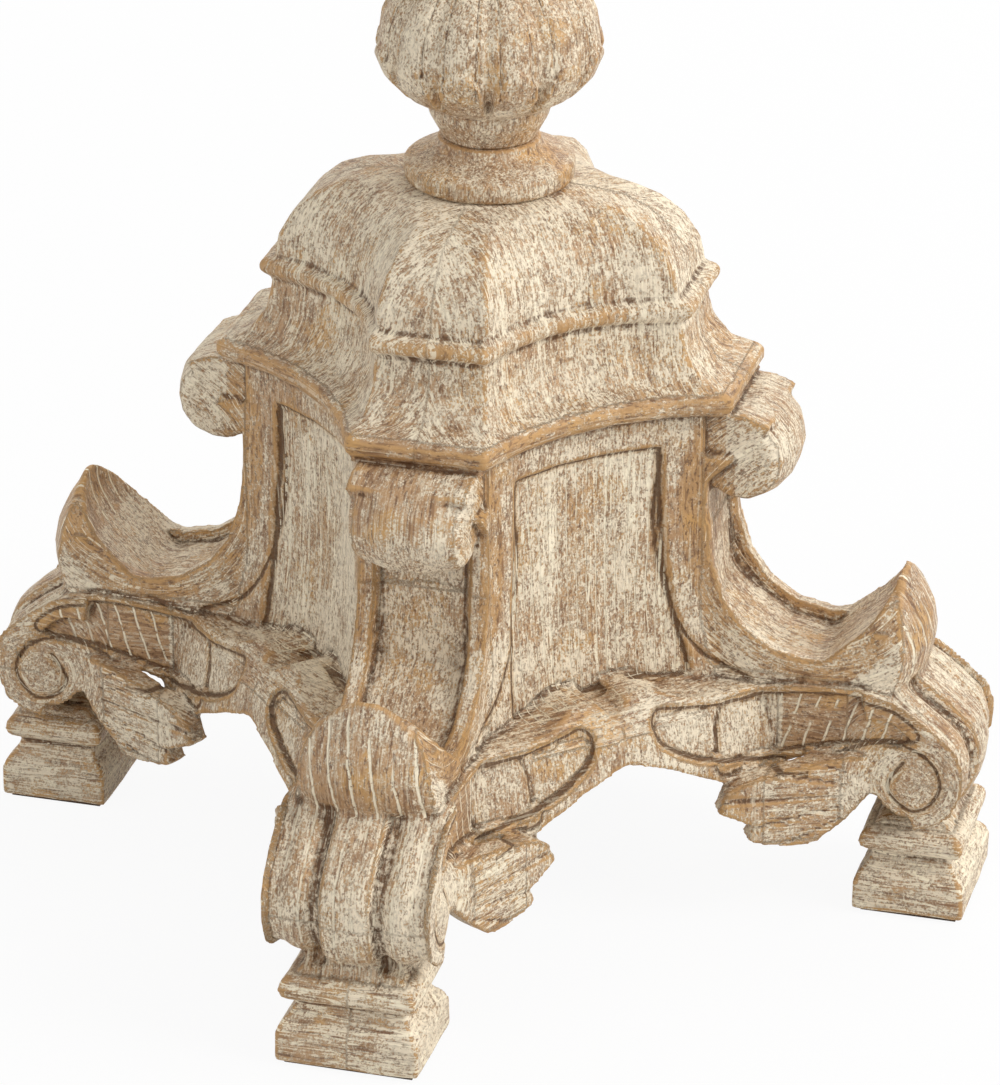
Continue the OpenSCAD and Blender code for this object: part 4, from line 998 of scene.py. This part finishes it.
class LAMP_OT_shade(bpy.types.Operator):
    """Make the linen shade with its folded hems"""
    bl_idname = "lamp.shade"
    bl_label = "Linen shade"

    def execute(self, context):
        hem = context.scene.lamp_shade.hem
        low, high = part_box("shade_fabric")
        _, ring_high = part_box("shade_top_ring")
        z0, z1 = low[2], high[2]
        r0, r1 = high[0], ring_high[0] + OVER_RING
        slope = (r1 - r0) / (z1 - z0)
        cloth = drum_side("linen_drum", r0 - HEM_STAND, r1 - HEM_STAND, z0 + HEM_END, z1 - HEM_END,
                          CLOTH_THICK)
        hems = [drum_side(name, r0 + slope * (a - z0), r0 + slope * (b - z0), a, b, HEM_THICK)
                for name, a, b in (("hem_bottom", z0, z0 + hem), ("hem_top", z1 - hem, z1))]
        for obj in [cloth] + hems:
            dress(obj, finish_of("linen"))
            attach(obj, "shade")
        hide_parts("shade_fabric")
        return {"FINISHED"}


# ---------------------------------------------------------------- stage
def lay_floor():
    """A pale floor that takes soft shadows and shows white to the camera."""
    bpy.ops.object.select_all(action="DESELECT")
    bpy.ops.mesh.primitive_plane_add(size=40, location=(0, 0, 0))
    floor = bpy.context.object
    floor.name = "floor"
    p = Paint("pale_floor")
    p.set(Base_Color=(0.8, 0.8, 0.8), Roughness=0.9, Specular_IOR_Level=0.1)
    ray = p.node("LightPath").outputs
    seen = p.most(ray["Is Camera Ray"], ray["Is Glossy Ray"], ray["Is Transmission Ray"])
    far = p.node("VectorMath")
    far.operation = "LENGTH"
    p.feed(far.inputs[0], p.place)
    glow = p.node("Emission")
    glow.inputs["Color"].default_value = (1, 1, 1, 1)
    glow.inputs["Strength"].default_value = 1.0
    blend = p.node("MixShader")
    p.feed(blend.inputs[0], p.times(seen, p.step(far.outputs["Value"], 0.5, 2.2, 0.93, 1.0)))
    p.feed(blend.inputs[1], p.shader.outputs[0])
    p.feed(blend.inputs[2], glow.outputs[0])
    p.feed(p.out.inputs["Surface"], blend.outputs[0])
    dress(floor, p.material)


def light_world(scene, level):
    """A white surround, dimmer as a light than as seen by the camera and in reflections."""
    world = bpy.data.worlds.new("studio")
    scene.world = world
    world.use_nodes = True
    nodes, links = world.node_tree.nodes, world.node_tree.links
    nodes.clear()
    ray = nodes.new("ShaderNodeLightPath").outputs
    seen = ray["Is Camera Ray"]
    for other in (ray["Is Transmission Ray"], ray["Is Glossy Ray"]):
        most = nodes.new("ShaderNodeMath")
        most.operation = "MAXIMUM"
        links.new(seen, most.inputs[0])
        links.new(other, most.inputs[1])
        seen = most.outputs[0]
    mix = nodes.new("ShaderNodeMixShader")
    links.new(seen, mix.inputs[0])
    for place, strength in ((1, 0.52 * level), (2, 1.0)):
        background = nodes.new("ShaderNodeBackground")
        background.inputs["Color"].default_value = (1, 1, 1, 1)
        background.inputs["Strength"].default_value = strength
        links.new(background.outputs[0], mix.inputs[place])
    out = nodes.new("ShaderNodeOutputWorld")
    links.new(mix.outputs[0], out.inputs[0])


def hang_lights(back, right, level):
    """The key, fill and rear lights, placed from the camera's side; sizes in metres, powers in watts."""
    aim = Vector((0, 0, 0.5))
    for name, place, size, power in (
            ("key", back * 1.0 + right * 2.4 + Vector((0, 0, 1.7)), 1.5, 64),
            ("fill", back * 1.6 - right * 2.4 + Vector((0, 0, 1.1)), 2.0, 14),
            ("rear", -back * 2.0 + right * 0.8 + Vector((0, 0, 2.8)), 1.8, 24)):
        bpy.ops.object.light_add(type="AREA", location=place)
        light = bpy.context.object
        light.name = name
        light.data.size = size
        light.data.energy = power * level
        light.rotation_euler = (aim - light.location).to_track_quat("-Z", "Y").to_euler()


def set_camera(scene, look, back, right):
    """The camera, where the photograph was taken from."""
    target = right * 0.004 + Vector((0, 0, 0.1286))
    camera = linked("camera", bpy.data.cameras.new("camera"))
    camera.data.lens = look.lens
    camera.data.sensor_width = 36
    camera.data.clip_start = 0.05
    camera.location = target + back * look.distance
    camera.rotation_mode = "QUATERNION"
    camera.rotation_quaternion = (-back).to_track_quat("-Z", "Y")
    scene.camera = camera


class LAMP_OT_stage(bpy.types.Operator):
    """Set the pale floor, the soft studio light and the camera"""
    bl_idname = "lamp.stage"
    bl_label = "Stage"

    def execute(self, context):
        scene, look = context.scene, context.scene.lamp_stage
        a, e = math.radians(look.azimuth), math.radians(look.elevation)
        back = Vector((math.sin(a) * math.cos(e), -math.cos(a) * math.cos(e), math.sin(e)))
        right = Vector((math.cos(a), math.sin(a), 0))
        lay_floor()
        light_world(scene, look.light)
        hang_lights(back, right, look.light)
        set_camera(scene, look, back, right)
        scene.view_settings.view_transform = "Standard"
        return {"FINISHED"}


# ---------------------------------------------------------------- add-on
STEPS = (LAMP_OT_pedestal, LAMP_OT_ball, LAMP_OT_column, LAMP_OT_fittings, LAMP_OT_shade, LAMP_OT_stage)


class LAMP_PT_sidebar(bpy.types.Panel):
    bl_label = "Floor lamp"
    bl_idname = "LAMP_PT_sidebar"
    bl_space_type = "VIEW_3D"
    bl_region_type = "UI"
    bl_category = "Lamp"

    def draw(self, context):
        for group in (context.scene.lamp_finish, context.scene.lamp_shade, context.scene.lamp_stage):
            box = self.layout.box()
            for key in group.bl_rna.properties.keys():
                if key not in ("rna_type", "name"):
                    box.prop(group, key)
        for step in STEPS:
            self.layout.operator(step.bl_idname)


CLASSES = (LampFinishSettings, LampShadeSettings, LampStageSettings, *STEPS, LAMP_PT_sidebar)


def register():
    for cls in CLASSES:
        bpy.utils.register_class(cls)
    bpy.types.Scene.lamp_finish = bpy.props.PointerProperty(type=LampFinishSettings)
    bpy.types.Scene.lamp_shade = bpy.props.PointerProperty(type=LampShadeSettings)
    bpy.types.Scene.lamp_stage = bpy.props.PointerProperty(type=LampStageSettings)


def unregister():
    for name in ("lamp_finish", "lamp_shade", "lamp_stage"):
        delattr(bpy.types.Scene, name)
    for cls in reversed(CLASSES):
        bpy.utils.unregister_class(cls)


def main():
    register()
    bpy.ops.lamp.pedestal()
    bpy.ops.lamp.ball()
    bpy.ops.lamp.column()
    bpy.ops.lamp.fittings()
    bpy.ops.lamp.shade()
    bpy.ops.lamp.stage()
    bpy.context.view_layer.update()


if __name__ == "__main__":
    main()
